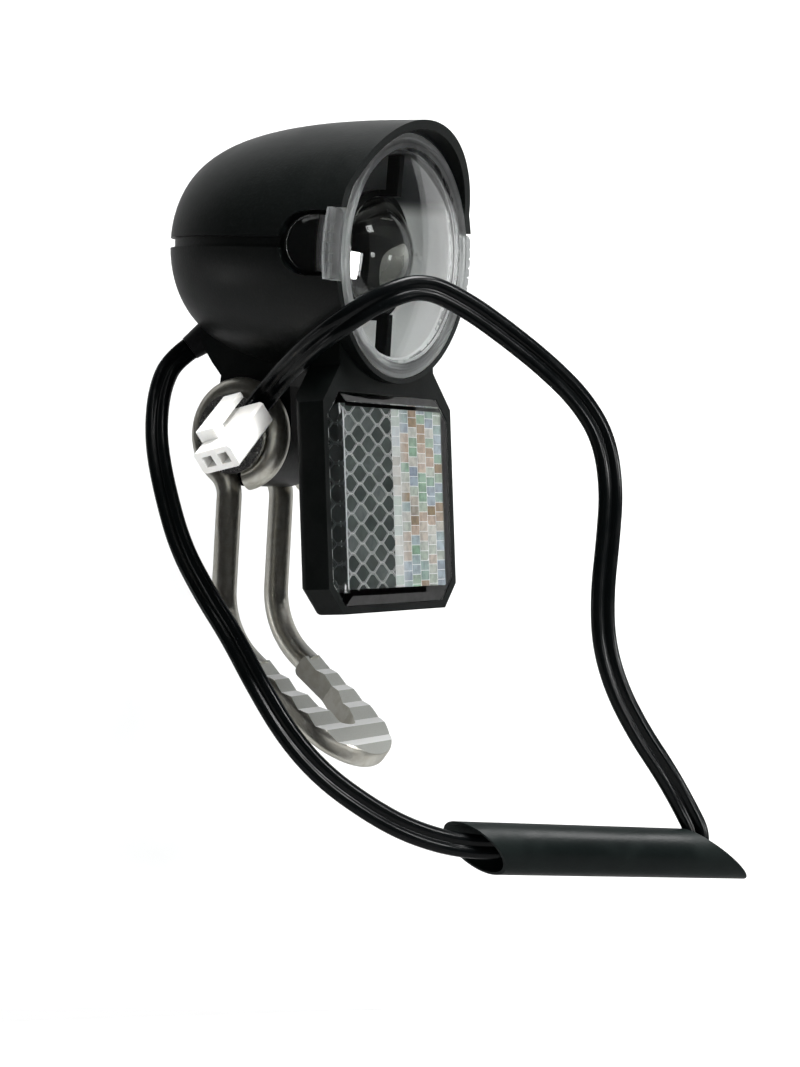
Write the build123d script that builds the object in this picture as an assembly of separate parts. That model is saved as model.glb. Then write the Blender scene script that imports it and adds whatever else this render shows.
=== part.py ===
from build123d import *
from math import atan2, cos, degrees, pi, radians, sin, sqrt, tan
import os

# Bicycle headlight on a bent wire bracket, with a clear retro-reflector under the lamp.
# Millimetres. The lamp shines along -Y, +Z is up, +X is to the lamp's left hand side seen from behind.
# The origin is on the back face of the bracket's foot, at the centre of the round end of its slot.

os.makedirs("parts", exist_ok=True)

# Clearances
AIR = 0.15              # between curved faces of pieces that don't turn on each other
RUN = 0.05              # radial, between the lug and its bolt
SEAT = 0.1              # between a pressed or dropped-in piece and its pocket

# Bracket wire
WIRE_D = 5.0
LEG_PITCH = 18.6        # between the two legs' centre lines
FOOT_DROP = 41.0        # degrees that the foot points below the horizontal
FOOT_BACK = 27.4        # slot centre to the corner where foot and leg lines cross
FOOT_BEND_R = 17.0
LEG_LEAN = 6.0          # degrees that the legs lean forward
LEG_LENGTH = 27.3       # from that corner to the start of the joggle
JOGGLE_R = 6.0
JOGGLE_TURN = 57.5      # degrees
EYE_R = 8.85            # of the eye's centre line
EYE_WRAP = 312.0        # degrees of wire round each eye

# Bracket foot, pressed flat out of the wire
FOOT_T = 4.6
FOOT_HALF = 12.0        # half the width of the foot
FLAT_LENGTH = 17.0      # slot centre to where the round wire begins
WIRE_SINK = 1.0         # of round wire that runs on into the flat
SLOT_R = 3.25           # round end, for an M6 bolt
SLOT_HALF_OPEN = 6.5    # half the slot's width between the arms
SLOT_TAPER = 8.0        # length over which the slot narrows
FOOT_ROUND = 1.5        # rounded outer edges
TOOTH_PITCH = 5.0
TOOTH_DEPTH = 0.7
TOOTH_RISE = 2.1        # length of a tooth's short flank
TOOTH_COUNT = 5
TOOTH_START = 13.0      # first valley, behind the slot centre

# Lug and pivot
LUG_R = 10.3
PIVOT_R = 2.5           # M5
BOSS_LEAN = -26.0       # degrees of the coned boss on the lug that centres the eye
BOSS_H = 2.4
CUP_R = 7.9             # coned washer outside the eye
CUP_TIP_R = 6.0
CUP_LEAN = 48.0         # degrees of its cone
CUP_RIM = 0.9
BOLT_HEAD_R = 4.4
BOLT_HEAD_H = 2.7
BOLT_KEY_AF = 3.0
NUT_AF = 8.0
NUT_H = 5.0
BOLT_STICK_OUT = 1.5    # thread beyond the nut

# Lamp head, in its own frame: local Y runs back along the optical axis from the lens plane
LENS_FWD = 34.1         # lens centre ahead of the pivot
LENS_UP = 33.06         # lens centre above the pivot
HEAD_TILT = 7.0         # degrees that the lens looks down
SHELL_R = 25.5
SHELL_L = 48.4
SHELL_N = 2.26          # exponents of the shell's rounded outline
SHELL_M = 4.18
SHELL_LIFT = 0.7        # the shell's axis lies above the lens centre
WALL = 2.2
VISOR_LEAN = 0.265      # the visor's edge runs forward by this for each millimetre up
VISOR_SET = 0.4         # ahead of the lens plane at the height below
VISOR_MID = 12.0
VISOR_T = 1.8
GROOVE_W = 2.0
GROOVE_D = 0.8
RECESS_HALF = 6.1       # half height of the side recesses for the lens's arms
RECESS_LENGTH = 13.5
RECESS_FLOOR = SHELL_R - 2.6    # from the optical axis
RECESS_WALL = 1.6
LEDGE_T = 2.0
STUD_R = 2.4

# Lens
LENS_R = SHELL_R - 1.8
LENS_FLANGE_T = 2.6
LENS_CLEAR_R = LENS_R - 2.7     # inside the flange
DOME_RISE = 3.0
DOME_T = 2.0
TAB_HALF = 6.7
TAB_FRONT = 0.5         # the grip tabs' front is set back this far from the flange's
TAB_T = 2.2
TAB_R = SHELL_R + 0.7
TAB_ROUND = 1.2
TAB_RIBS = 7
TAB_RIB = 0.35
ARM_HALF = 5.2
ARM_LENGTH = 12.0
ARM_T = 2.1
SEAL_T = 0.8
SEAL_W = 1.3

# Inside the lamp
BOWL_WALL = 1.0
BOWL_DEPTH = 19.0
BOWL_NECK_R = 8.6
OPTIC_R = 11.3
OPTIC_FRONT = 1.6       # apex behind the lens plane
OPTIC_RIM = 7.4
OPTIC_TAIL_R = 4.6
RING_T = 1.4
STEM_W = 1.6
STEM_DEPTH = 2.6
BOARD_R = 7.9
BOARD_T = 1.2
LED_SIZE = 3.5
LED_T = 0.8
LED_DOME_R = 1.5
SINK_R = 13.2
SINK_T = 2.5
FIN_H = 6.0
FIN_T = 1.4
FIN_COUNT = 5
FIN_PITCH = 4.4
SINK_SCREW_X = 11.0
SINK_SCREW_R = 1.2
DRIVER_R = 13.0
DRIVER_T = 1.6
DRIVER_AT = SHELL_L - 12.4      # the board's front face
DRIVER_SCREW_X = 10.2
DRIVER_SCREW_BITE = 4.0 # into the studs
STUD_DEPTH = 4.5        # of the studs' holes
PART_OFFSET = 5.0       # coil above and capacitor below the board's middle
COIL_R = 3.8
COIL_H = 4.6
COIL_CHEEK = 0.9
COIL_WIND = 0.8         # the winding lies this far inside the cheeks
CAPACITOR_R = 3.2
CAPACITOR_H = 6.0
LEAD_R = 0.6
LEAD_X = 2.6
LEAD_SPREAD = 1.0       # of the two cores inside the gland, each side of its axis

# Cable gland
GLAND_U = SHELL_L - 4.1 # where its axis leaves the shell, along the optical axis
GLAND_DIP = 46.5        # degrees below the optical axis, pointing back
GLAND_SWING = 28.0      # degrees towards -X
GLAND_NECK_R = 3.3
GLAND_FLANGE_R = 4.4
GLAND_FLANGE_T = 1.4
GLAND_TAIL = 4.6
GLAND_GRIP = 1.2        # its inner flange sits this far inside the wall
GLAND_PROUD = 0.5       # its outer flange starts this far outside the shell's surface
GLAND_TIP_R = 2.5
GLAND_STRAIGHT = 4.4    # of cable after the gland

# Retro-reflector under the lamp
REFLECTOR_FWD = 29.1    # its front face ahead of the pivot
REFLECTOR_DOWN = 35.95  # its bottom edge below the pivot
CARRIER_W = 48.2
CARRIER_H = 40.2
CARRIER_D = 6.9
CORNER_X = 4.8
CORNER_Z = 4.9
NECK_HALF = 17.6
SHOULDER_H = 47.4
CARRIER_ROUND = 2.0     # rear edges
RIM = 1.5
POCKET_D = 3.8
PLATE_T = 2.6
PLATE_RISE = 1.0        # the clear plate stands proud of the rim
PLATE_BEVEL = 1.8
BACKING_T = 1.1
TONGUE_W = 16.0
TONGUE_T = 2.8
TONGUE_H = 17.0
CARRIER_SCREW_X = 5.0
CARRIER_SCREW_Z = 38.6
CARRIER_SCREW_R = 1.25
SCREW_HEAD_R = 2.3
SCREW_HEAD_H = 1.6

# Lead: a twin cable, drawn round, with a loose sleeve and a two-way plug
CABLE_D = 3.8
SLEEVE_D = 10.2         # at its left end, from which it narrows to the other
SLEEVE_END_D = 9.4
SLEEVE_WALL = 0.5
SLEEVE_FROM = Vector(4.4, -29.3, -23.1)
SLEEVE_TO = Vector(29.5, -71.0, -25.9)
SLEEVE_CUT_FROM = 0.2   # where the slanted cuts cross its axis
SLEEVE_CUT_TO = 46.3
SLEEVE_UP_FROM = -0.7   # how far each cut runs along the sleeve for each millimetre up and outwards
SLEEVE_OUT_FROM = 0.95
SLEEVE_UP_TO = -1.18
SLEEVE_OUT_TO = 0.69
PLUG_CENTRE = Vector(-24.8, 3.9, 57.65)
PLUG_WAY = Vector(-0.81, -0.03, -0.58)      # towards its mating end
PLUG_ACROSS = Vector(-0.07, -0.99, 0.14)    # across its wide side
PLUG_LENGTH = 15.0
PLUG_W = 8.9
PLUG_T = 4.7
PLUG_PITCH = 3.7
PLUG_CHAMFER = 0.5
PLUG_STRAIGHT = 3.2     # of cable before the plug
PLUG_WELL = 2.3
PLUG_WELL_DEPTH = 9.0
LATCH_T = 1.2
LATCH_GAP = 1.2
LATCH_W = 4.2
LATCH_AT = -2.3         # its middle across the plug
LATCH_FROM = 4.0        # its root behind the mating end
LATCH_ROOT = 3.0
LATCH_PAST = 1.5        # its free end reaches this far past the cable's end of the plug
TERMINAL = 1.6
ROUTE = [
    (-8.8, 32.5, 70.4),
    (-12.2, 31.4, 63.9),
    (-15.0, 29.4, 56.9),
    (-16.8, 26.3, 47.9),
    (-17.6, 22.5, 37.3),
    (-18.0, 16.6, 27.9),
    (-18.2, 10.4, 19.6),
    (-18.0, 5.0, 10.2),
    (-16.8, -0.8, 0.3),
    (-13.6, -6.4, -7.6),
    (-9.0, -13.3, -14.2),
    (-4.5, -20.3, -18.5),
    (2.7, -27.6, -22.1),
    (9.2, -36.9, -23.3),
    (15.1, -46.1, -24.7),
    (20.8, -55.4, -26.2),
    (26.5, -64.1, -27.0),
    (28.3, -66.6, -23.0),
    (26.3, -63.9, -15.8),
    (22.9, -61.7, -9.1),
    (19.2, -58.6, -1.9),
    (15.6, -55.7, 6.9),
    (13.5, -54.2, 16.0),
    (12.5, -54.8, 25.8),
    (12.3, -56.5, 35.8),
    (11.3, -58.1, 45.6),
    (9.3, -57.8, 55.1),
    (5.3, -55.2, 62.4),
    (0.3, -50.8, 68.8),
    (-5.2, -45.6, 74.8),
    (-11.3, -40.3, 80.4),
    (-17.5, -34.9, 84.2),
    (-23.6, -29.5, 81.7),
    (-26.7, -23.2, 77.6),
    (-24.0, -14.3, 74.2),
    (-18.6, -4.5, 70.1),
    (-14.4, 1.8, 67.4),
]


def heading(angle):
    return Vector(cos(radians(angle)), sin(radians(angle)))


def side_view(x):
    """Plane across X, with local x along Y and local y along Z."""
    return Plane(origin=(x, 0, 0), x_dir=(0, 1, 0), z_dir=(1, 0, 0))


# Places that follow from the sizes above, in the side view
FOOT_AXIS = heading(FOOT_DROP)                  # along the foot, pointing back to the legs
FOOT_NORMAL = heading(90 + FOOT_DROP)           # out of the serrated face
LEG_AXIS = heading(90 + LEG_LEAN)
FOOT_CORNER = FOOT_NORMAL * (WIRE_D / 2) + FOOT_AXIS * FOOT_BACK
BEND_TURN = 90 + LEG_LEAN - FOOT_DROP
BEND_TANGENT = FOOT_BEND_R * tan(radians(BEND_TURN / 2))
JOGGLE_START = FOOT_CORNER + LEG_AXIS * LEG_LENGTH
JOGGLE_HEADING = 90 + LEG_LEAN - JOGGLE_TURN
JOGGLE_CENTRE = JOGGLE_START + heading(LEG_LEAN) * JOGGLE_R
PIVOT = JOGGLE_CENTRE + heading(90 + JOGGLE_HEADING) * (JOGGLE_R + EYE_R)
EYE_PLANE = LEG_PITCH / 2
WIRE_OUT = EYE_PLANE + WIRE_D / 2
LUG_HALF = EYE_PLANE - WIRE_D / 2 - AIR
SEAL_R = RECESS_FLOOR - 2 * AIR

HEAD = Location((0, PIVOT.X - LENS_FWD, PIVOT.Y + LENS_UP), (HEAD_TILT, 0, 0))
PIVOT_AT = Location((0, PIVOT.X, PIVOT.Y))
REFLECTOR = Location((0, PIVOT.X - REFLECTOR_FWD, PIVOT.Y - REFLECTOR_DOWN))
PLUG = Plane(origin=PLUG_CENTRE, x_dir=PLUG_ACROSS, z_dir=PLUG_WAY)


def spun(points, axis=Axis.Y):
    """Body of revolution from a closed outline."""
    return revolve(make_face(Polyline(*points, close=True)), axis)


def rod(start, end, radius):
    """Straight round rod between two points."""
    way = end - start
    return extrude(Plane(origin=start, z_dir=way) * Circle(radius), amount=way.length)


# Bracket

def bracket_leg(side):
    """Round wire from inside the foot up to the cut end of its eye."""
    start = FOOT_NORMAL * (WIRE_D / 2) + FOOT_AXIS * (FLAT_LENGTH - WIRE_SINK)
    run_in = Line(start, FOOT_CORNER - FOOT_AXIS * BEND_TANGENT)
    bend = JernArc(run_in @ 1, FOOT_AXIS, FOOT_BEND_R, BEND_TURN)
    leg = Line(bend @ 1, JOGGLE_START)
    joggle = JernArc(leg @ 1, LEG_AXIS, JOGGLE_R, -JOGGLE_TURN)
    eye = JernArc(joggle @ 1, heading(JOGGLE_HEADING), EYE_R, EYE_WRAP)
    path = side_view(side * EYE_PLANE) * Wire([run_in, bend, leg, joggle, eye])
    return sweep(Plane(origin=path @ 0, z_dir=path % 0) * Circle(WIRE_D / 2), path=path)


def foot_teeth():
    """Everything above the saw-tooth line of the foot."""
    top = FOOT_T + 2 * TOOTH_DEPTH
    line = [(FLAT_LENGTH + 1, top), (FLAT_LENGTH + 1, FOOT_T)]
    for i in range(TOOTH_COUNT):
        valley = TOOTH_START - i * TOOTH_PITCH
        line += [(valley, FOOT_T - TOOTH_DEPTH), (valley - TOOTH_RISE, FOOT_T)]
    line += [(-FOOT_HALF - 1, FOOT_T - TOOTH_DEPTH), (-FOOT_HALF - 1, top)]
    side = make_face(Polyline(*[(y, z) for y, z in line], close=True))
    return extrude(side_view(0) * side, amount=FOOT_HALF + 1, both=True)


def bracket_foot():
    """Flat fork of the foot with its slot, in place."""
    outer = Circle(FOOT_HALF) + Pos(0, FLAT_LENGTH / 2) * Rectangle(2 * FOOT_HALF, FLAT_LENGTH)
    mouth = FLAT_LENGTH + 1
    slot_side = [(SLOT_R, 0), (SLOT_HALF_OPEN, SLOT_TAPER), (SLOT_HALF_OPEN, mouth)]
    slot = make_face(Polyline(*slot_side, *[(-x, y) for x, y in reversed(slot_side)], close=True))
    blank = extrude(outer, amount=FOOT_T + TOOTH_DEPTH / 2)
    blank = fillet(blank.edges().filter_by(Plane.XY), FOOT_ROUND)
    fork = blank - extrude(slot + Circle(SLOT_R), amount=FOOT_T + TOOTH_DEPTH) - foot_teeth()
    return Location((0, 0, 0), (FOOT_DROP, 0, 0)) * fork


def bracket_wire():
    return bracket_foot() + bracket_leg(-1) + bracket_leg(1)


# Pivot

def along_x(side):
    """Place for parts drawn along +X, on the pivot and turned to one side."""
    return PIVOT_AT * Rot(0, 0, 0 if side > 0 else 180)


def seat_x(radius, lean):
    """Distance from the middle at which a leaning cone that just clears the eye's wire has a given radius."""
    at_wire = EYE_R - (WIRE_D / 2 + AIR) / cos(radians(lean))
    return EYE_PLANE + (radius - at_wire) / tan(radians(lean))


def cup_face():
    """Outer face of the coned washers, where the bolt's head and the nut sit."""
    return seat_x(CUP_R, CUP_LEAN) + CUP_RIM


def cup_washer(side):
    rim = seat_x(CUP_R, CUP_LEAN)
    tip = seat_x(CUP_TIP_R, CUP_LEAN)
    bore = PIVOT_R + SEAT
    outline = [(tip, bore), (tip, CUP_TIP_R), (rim, CUP_R), (cup_face(), CUP_R), (cup_face(), bore)]
    return along_x(side) * spun(outline, Axis.X)


def pivot_bolt():
    """Button-head bolt with a hexagon socket; the head is on the -X side."""
    seat = cup_face()
    head = spun([(seat, 0), (seat, BOLT_HEAD_R), (seat + 1, BOLT_HEAD_R), (seat + BOLT_HEAD_H, 2.6),
                 (seat + BOLT_HEAD_H, 0)], Axis.X)
    key = RegularPolygon(BOLT_KEY_AF / 2, 6, major_radius=False)
    socket = Plane(origin=(seat + BOLT_HEAD_H, 0, 0), z_dir=(-1, 0, 0)) * key
    head -= extrude(socket, amount=BOLT_HEAD_H * 0.6)
    length = 2 * seat + NUT_H + BOLT_STICK_OUT
    shank = rod(Vector(seat, 0, 0), Vector(seat - length, 0, 0), PIVOT_R)
    return along_x(-1) * (head + shank)


def pivot_nut():
    """Locking nut: a hexagon with a round collar."""
    seat = cup_face()
    hexagon = RegularPolygon(NUT_AF / 2, 6, major_radius=False)
    body = extrude(Plane(origin=(seat, 0, 0), z_dir=(1, 0, 0)) * hexagon, amount=NUT_H * 0.74)
    collar = rod(Vector(seat, 0, 0), Vector(seat + NUT_H, 0, 0), NUT_AF * 0.44)
    bore = rod(Vector(seat - 1, 0, 0), Vector(seat + NUT_H + 1, 0, 0), PIVOT_R + SEAT / 2)
    return along_x(1) * (body + collar - bore)


# Lamp shell

def shell_radius(depth, inset=0.0):
    """Radius of the shell's rounded outline at a depth behind the lens plane."""
    return (SHELL_R - inset) * (1 - (depth / (SHELL_L - inset)) ** SHELL_N) ** (1 / SHELL_M)


def shell_form(inset, start=0.0):
    """The shell's rounded outline, spun, with its wall inset by a given amount, from a depth to the back."""
    length = SHELL_L - inset
    first = start / length
    steps = [first] + [s for s in (0.25, 0.45, 0.62, 0.76, 0.87, 0.945, 0.985, 1) if s > first + 0.1]
    points = [(shell_radius(s * length, inset), s * length) for s in steps]
    curve = Spline(*points, tangents=[(0, 1), (-1, 0)])
    face = make_face(Wire([curve, Line(points[-1], (0, points[0][1])), Line((0, points[0][1]), points[0])]))
    return Pos(0, 0, SHELL_LIFT) * revolve(face, Axis.Y)


def visor():
    """Hood over the upper half, cut along a plane that leans forward."""
    top = SHELL_R + SHELL_LIFT + 1
    low = VISOR_MID - VISOR_SET / VISOR_LEAN
    reach = VISOR_SET + VISOR_LEAN * (top - VISOR_MID)
    tube = rod(Vector(0, -SHELL_R, SHELL_LIFT), Vector(0, 0, SHELL_LIFT), SHELL_R)
    tube -= rod(Vector(0, -SHELL_R - 1, SHELL_LIFT), Vector(0, 1, SHELL_LIFT), SHELL_R - VISOR_T)
    lean = make_face(Polyline((-reach, top), (0, low), (0, top), close=True))
    return tube & extrude(side_view(0) * lean, amount=SHELL_R + 1, both=True)


def stadium(half, length, grow):
    """Both side arms' outline, round at the back, as a bar right across the lamp."""
    half = half + grow
    end = length - half + grow
    flat = Pos(end / 2 - 2, 0) * Rectangle(end + 4, 2 * half) + Pos(end, 0) * Circle(half)
    return extrude(side_view(0) * flat, amount=SHELL_R + 2, both=True)


def drum(radius, start, end):
    """Disc or bar about the optical axis."""
    return rod(Vector(0, start, 0), Vector(0, end, 0), radius)


def lug():
    """Keel under the shell, down to the pivot's round boss with its coned centres."""
    back = [(11.0, 27.0), (10.6, 19.7), (9.9, 17.7), (8.3, 15.1), (6.2, 12.3), (7.6, 5.0)]
    keel = back + [(-LUG_R, 0), (-LUG_R, 9.0), (-16.0, 18.0), (-16.0, 27.0)]
    profile = make_face(Polyline(*keel, close=True)) + Circle(LUG_R)
    body = extrude(side_view(0) * profile, amount=LUG_HALF, both=True)
    fall = tan(radians(BOSS_LEAN))
    base = EYE_R - (WIRE_D / 2 + AIR) / cos(radians(BOSS_LEAN)) + (LUG_HALF - EYE_PLANE) * fall
    tip = base + BOSS_H * fall
    for side in (0, 180):
        cone = [(LUG_HALF - 1, 0), (LUG_HALF - 1, base), (LUG_HALF, base)]
        cone += [(LUG_HALF + BOSS_H, tip), (LUG_HALF + BOSS_H, 0)]
        body += Rot(0, 0, side) * spun(cone, Axis.X)
    body -= rod(Vector(-WIRE_OUT, 0, 0), Vector(WIRE_OUT, 0, 0), PIVOT_R + RUN)
    return PIVOT_AT * body


def tongue():
    """Flat tongue behind the reflector's carrier, with two screw holes."""
    low = SHOULDER_H + 3 - TONGUE_H
    body = Pos(0, CARRIER_D + TONGUE_T / 2, low + TONGUE_H / 2) * Box(TONGUE_W, TONGUE_T, TONGUE_H)
    for x in (-CARRIER_SCREW_X, CARRIER_SCREW_X):
        body -= rod(Vector(x, 0, CARRIER_SCREW_Z), Vector(x, 20, CARRIER_SCREW_Z), CARRIER_SCREW_R + SEAT)
    return REFLECTOR * body


def gland_axis():
    """Start on the shell and direction of the cable gland, in the lamp's frame."""
    flat = cos(radians(GLAND_SWING))
    way = Vector(-sin(radians(GLAND_SWING)), flat * cos(radians(GLAND_DIP)), -flat * sin(radians(GLAND_DIP)))
    return Vector(0, GLAND_U, SHELL_LIFT - shell_radius(GLAND_U)), way


def lamp_shell():
    ledge = LENS_FLANGE_T + SEAL_T
    cavity = shell_form(WALL, ledge + LEDGE_T)
    cavity -= stadium(RECESS_HALF, RECESS_LENGTH, RECESS_WALL) - drum(RECESS_FLOOR - RECESS_WALL, -5, 60)
    for x in (-DRIVER_SCREW_X, DRIVER_SCREW_X):
        cavity -= rod(Vector(x, DRIVER_AT + DRIVER_T, 0), Vector(x, SHELL_L + 9, 0), STUD_R)
    body = shell_form(0) + visor() - cavity
    body -= drum(LENS_R + AIR, -20, ledge)
    body -= drum(LENS_CLEAR_R + SEAT, -20, ledge + LEDGE_T + 1)
    body -= stadium(RECESS_HALF, RECESS_LENGTH, 0) - drum(RECESS_FLOOR, -20, 60)
    body -= Pos(0, TAB_FRONT + TAB_T + AIR - 10, 0) * Box(3 * SHELL_R, 20, 2 * (TAB_HALF + AIR))
    slot = Pos(0, RECESS_LENGTH + 28, 0) * Box(60, 60, GROOVE_W)
    body -= slot - shell_form(GROOVE_D)
    for x in (-DRIVER_SCREW_X, DRIVER_SCREW_X):
        body -= rod(Vector(x, DRIVER_AT, 0), Vector(x, DRIVER_AT + DRIVER_T + STUD_DEPTH, 0), SINK_SCREW_R)
    hollow = HEAD * shell_form(WALL / 2)
    start, way = gland_axis()
    pocket = rod(start - way * 8, start + way * 8, GLAND_NECK_R + SEAT)
    pocket += rod(start - way * (WALL + GLAND_GRIP - SEAT), start - way * 8, GLAND_FLANGE_R + SEAT)
    pocket += rod(start + way * (GLAND_PROUD - SEAT), start + way * 8, GLAND_FLANGE_R + SEAT)
    return HEAD * body + (lug() - hollow) + (tongue() - hollow) - HEAD * pocket


# Lens

def dome(rise, radius, base):
    """Solid spherical cap that bulges forward from a round base."""
    ball = (radius ** 2 + rise ** 2) / (2 * rise)
    half = radius / 2
    middle = (half, base - rise + ball - sqrt(ball ** 2 - half ** 2))
    apex = (0, base - rise)
    curve = ThreePointArc((radius, base), middle, apex)
    return revolve(make_face(Wire([curve, Line(apex, (0, base)), Line((0, base), (radius, base))])), Axis.Y)


def front_lens():
    body = drum(LENS_R, 0, LENS_FLANGE_T) + dome(DOME_RISE, LENS_CLEAR_R, 0)
    body -= dome(DOME_RISE, LENS_CLEAR_R - DOME_T / 2, DOME_T) + drum(LENS_CLEAR_R - DOME_T / 2, DOME_T, 9)
    ring = drum(RECESS_FLOOR + AIR + ARM_T, TAB_FRONT, ARM_LENGTH) - drum(RECESS_FLOOR + AIR, -20, 40)
    body += ring & stadium(ARM_HALF, ARM_LENGTH, 0)
    tab_side = RectangleRounded(2 * TAB_T, 2 * TAB_HALF, TAB_ROUND)
    corners = extrude(Plane.YZ * tab_side, amount=2 * SHELL_R, both=True)
    tab = drum(TAB_R, TAB_FRONT, TAB_FRONT + TAB_T) - drum(LENS_R - 1, -20, 40)
    tab = tab & Pos(0, TAB_FRONT + TAB_T, 0) * corners
    for i in range(TAB_RIBS):
        height = (i - (TAB_RIBS - 1) / 2) * 2 * TAB_HALF / TAB_RIBS
        for side in (-TAB_R, TAB_R):
            tab -= Pos(side, 0, height) * Box(2 * TAB_RIB + 0.6, 9, TAB_RIB)
    return HEAD * (body + tab)


def lens_seal():
    back = LENS_FLANGE_T + SEAL_T
    return HEAD * (drum(SEAL_R, LENS_FLANGE_T, back) - drum(SEAL_R - SEAL_W, 0, 9))


# Lamp insides

def bowl_outline(grow):
    """Radius and depth of the bright bowl, front to back."""
    front = LENS_FLANGE_T + BOWL_WALL
    mouth = LENS_CLEAR_R - BOWL_WALL - SEAT - 0.4
    depths = [0, 0.2, 0.4, 0.6, 0.8, 1]
    deep = BOWL_DEPTH - front
    return [(BOWL_NECK_R + (mouth - BOWL_NECK_R) * sqrt(1 - d ** 2.2) + grow, front + d * deep)
            for d in depths]


def reflector_bowl():
    """Bright bowl: a front flange, a curved wall and a collar with two screw ears."""
    inner = bowl_outline(0)
    outer = bowl_outline(BOWL_WALL)
    back = outer[-1][1]
    wall = [Spline(*inner), Line(inner[-1], outer[-1]), Spline(*reversed(outer)), Line(outer[0], inner[0])]
    body = revolve(make_face(Wire(wall)), Axis.Y)
    front = LENS_FLANGE_T
    lip = SEAL_R - SEAL_W - SEAT
    body += drum(lip, front, front + SEAL_T) - drum(inner[0][0], 0, 9)
    body += drum(outer[0][0], front, front + BOWL_WALL) - drum(inner[0][0], 0, 9)
    collar = back + BOARD_T + LED_T
    body += drum(BOWL_NECK_R + BOWL_WALL, back - 0.5, collar) - drum(BOWL_NECK_R, 0, 40)
    ears = Box(2 * SINK_SCREW_X, 3.0, 5.0) + Pos(-SINK_SCREW_X, 0, 0) * Rot(90, 0, 0) * Cylinder(2.5, 3.0)
    ears += Pos(SINK_SCREW_X, 0, 0) * Rot(90, 0, 0) * Cylinder(2.5, 3.0)
    body += Pos(0, collar - 1.5, 0) * ears - drum(BOWL_NECK_R, 0, 40)
    for x in (-SINK_SCREW_X, SINK_SCREW_X):
        body -= rod(Vector(x, collar - 9, 0), Vector(x, collar + 9, 0), SINK_SCREW_R)
    return HEAD * body


def sink_face():
    """Depth of the heat sink's front face."""
    return BOWL_DEPTH + BOARD_T + LED_T


def condenser_optic():
    """Clear solid lens: a domed front, a coned body and a small tail over the light source."""
    tail = sink_face() - BOARD_T - LED_T - LED_DOME_R - AIR
    back = OPTIC_RIM + RING_T
    cone = spun([(0, OPTIC_RIM), (OPTIC_R, OPTIC_RIM), (OPTIC_R, back), (OPTIC_TAIL_R, tail), (0, tail)])
    return HEAD * (cone + dome(OPTIC_RIM - OPTIC_FRONT, OPTIC_R, OPTIC_RIM))


def optic_bridge():
    """Dark ring round the optic on an upright bar that spans the bowl's mouth."""
    mouth = bowl_outline(0)
    ring = drum(OPTIC_R + RING_T, OPTIC_RIM, OPTIC_RIM + RING_T) - drum(OPTIC_R + SEAT, 0, 40)
    front = mouth[0][1]
    tall = 2 * (mouth[0][0] - SEAT)
    bar = Pos(0, front + STEM_DEPTH / 2, 0) * Box(STEM_W, STEM_DEPTH, tall)
    back = OPTIC_RIM + RING_T
    bar += Pos(0, (front + back) / 2, 0) * Box(STEM_W, back - front, 2 * OPTIC_R + 2 * RING_T)
    bar = bar & spun([(0, front)] + [(r - SEAT, y) for r, y in mouth[:4]] + [(0, mouth[3][1])])
    bar -= dome(OPTIC_RIM - OPTIC_FRONT, OPTIC_R, OPTIC_RIM) + drum(OPTIC_R + SEAT, OPTIC_RIM - 6, 40)
    return HEAD * (ring + bar)


def led_board():
    face = sink_face()
    return HEAD * drum(BOARD_R, face - BOARD_T, face)


def led():
    """Light source: a square package with a small clear dome."""
    face = sink_face() - BOARD_T
    package = Pos(0, face - LED_T / 2, 0) * Box(LED_SIZE, LED_T, LED_SIZE)
    ball = Pos(0, face - LED_T, 0) * Sphere(LED_DOME_R)
    ball = ball & drum(LED_DOME_R, face - LED_T - LED_DOME_R, face - LED_T)
    return HEAD * (package + ball)


def heat_sink():
    face = sink_face()
    body = drum(SINK_R, face, face + SINK_T)
    for i in range(FIN_COUNT):
        z = (i - (FIN_COUNT - 1) / 2) * FIN_PITCH
        wide = 2 * sqrt(SINK_R ** 2 - z ** 2) - 6
        body += Pos(0, face + SINK_T + FIN_H / 2, z) * Box(min(wide, 15.0), FIN_H, FIN_T)
    for x in (-SINK_SCREW_X, SINK_SCREW_X):
        body -= rod(Vector(x, 0, 0), Vector(x, 40, 0), SINK_SCREW_R + SEAT)
    for x in (-LEAD_X, LEAD_X):
        body -= rod(Vector(x, 0, -FIN_PITCH / 2), Vector(x, 60, -FIN_PITCH / 2), LEAD_R + AIR)
    return HEAD * body


def pan_screw(at, way, length, radius):
    """Pan-head screw: the head's seat is at a point and the shank runs along a direction."""
    head = rod(at, at - way * SCREW_HEAD_H, SCREW_HEAD_R)
    slot = Plane(origin=at - way * SCREW_HEAD_H, z_dir=way)
    head -= extrude(slot * (Rectangle(2.6, 0.6) + Rectangle(0.6, 2.6)), amount=SCREW_HEAD_H * 0.6)
    return head + rod(at, at + way * length, radius)


def heat_sink_screws():
    seat = sink_face() + SINK_T
    ways = [pan_screw(Vector(x, seat, 0), Vector(0, -1, 0), SINK_T + 2.8, SINK_SCREW_R - 0.05)
            for x in (-SINK_SCREW_X, SINK_SCREW_X)]
    return HEAD * Compound(children=ways)


def driver_board():
    body = drum(DRIVER_R, DRIVER_AT, DRIVER_AT + DRIVER_T)
    for x in (-DRIVER_SCREW_X, DRIVER_SCREW_X):
        body -= rod(Vector(x, 0, 0), Vector(x, 60, 0), SINK_SCREW_R + SEAT)
    return HEAD * body


def driver_screws():
    length = DRIVER_T + DRIVER_SCREW_BITE
    ways = [pan_screw(Vector(x, DRIVER_AT, 0), Vector(0, 1, 0), length, SINK_SCREW_R - 0.05)
            for x in (-DRIVER_SCREW_X, DRIVER_SCREW_X)]
    return HEAD * Compound(children=ways)


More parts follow.
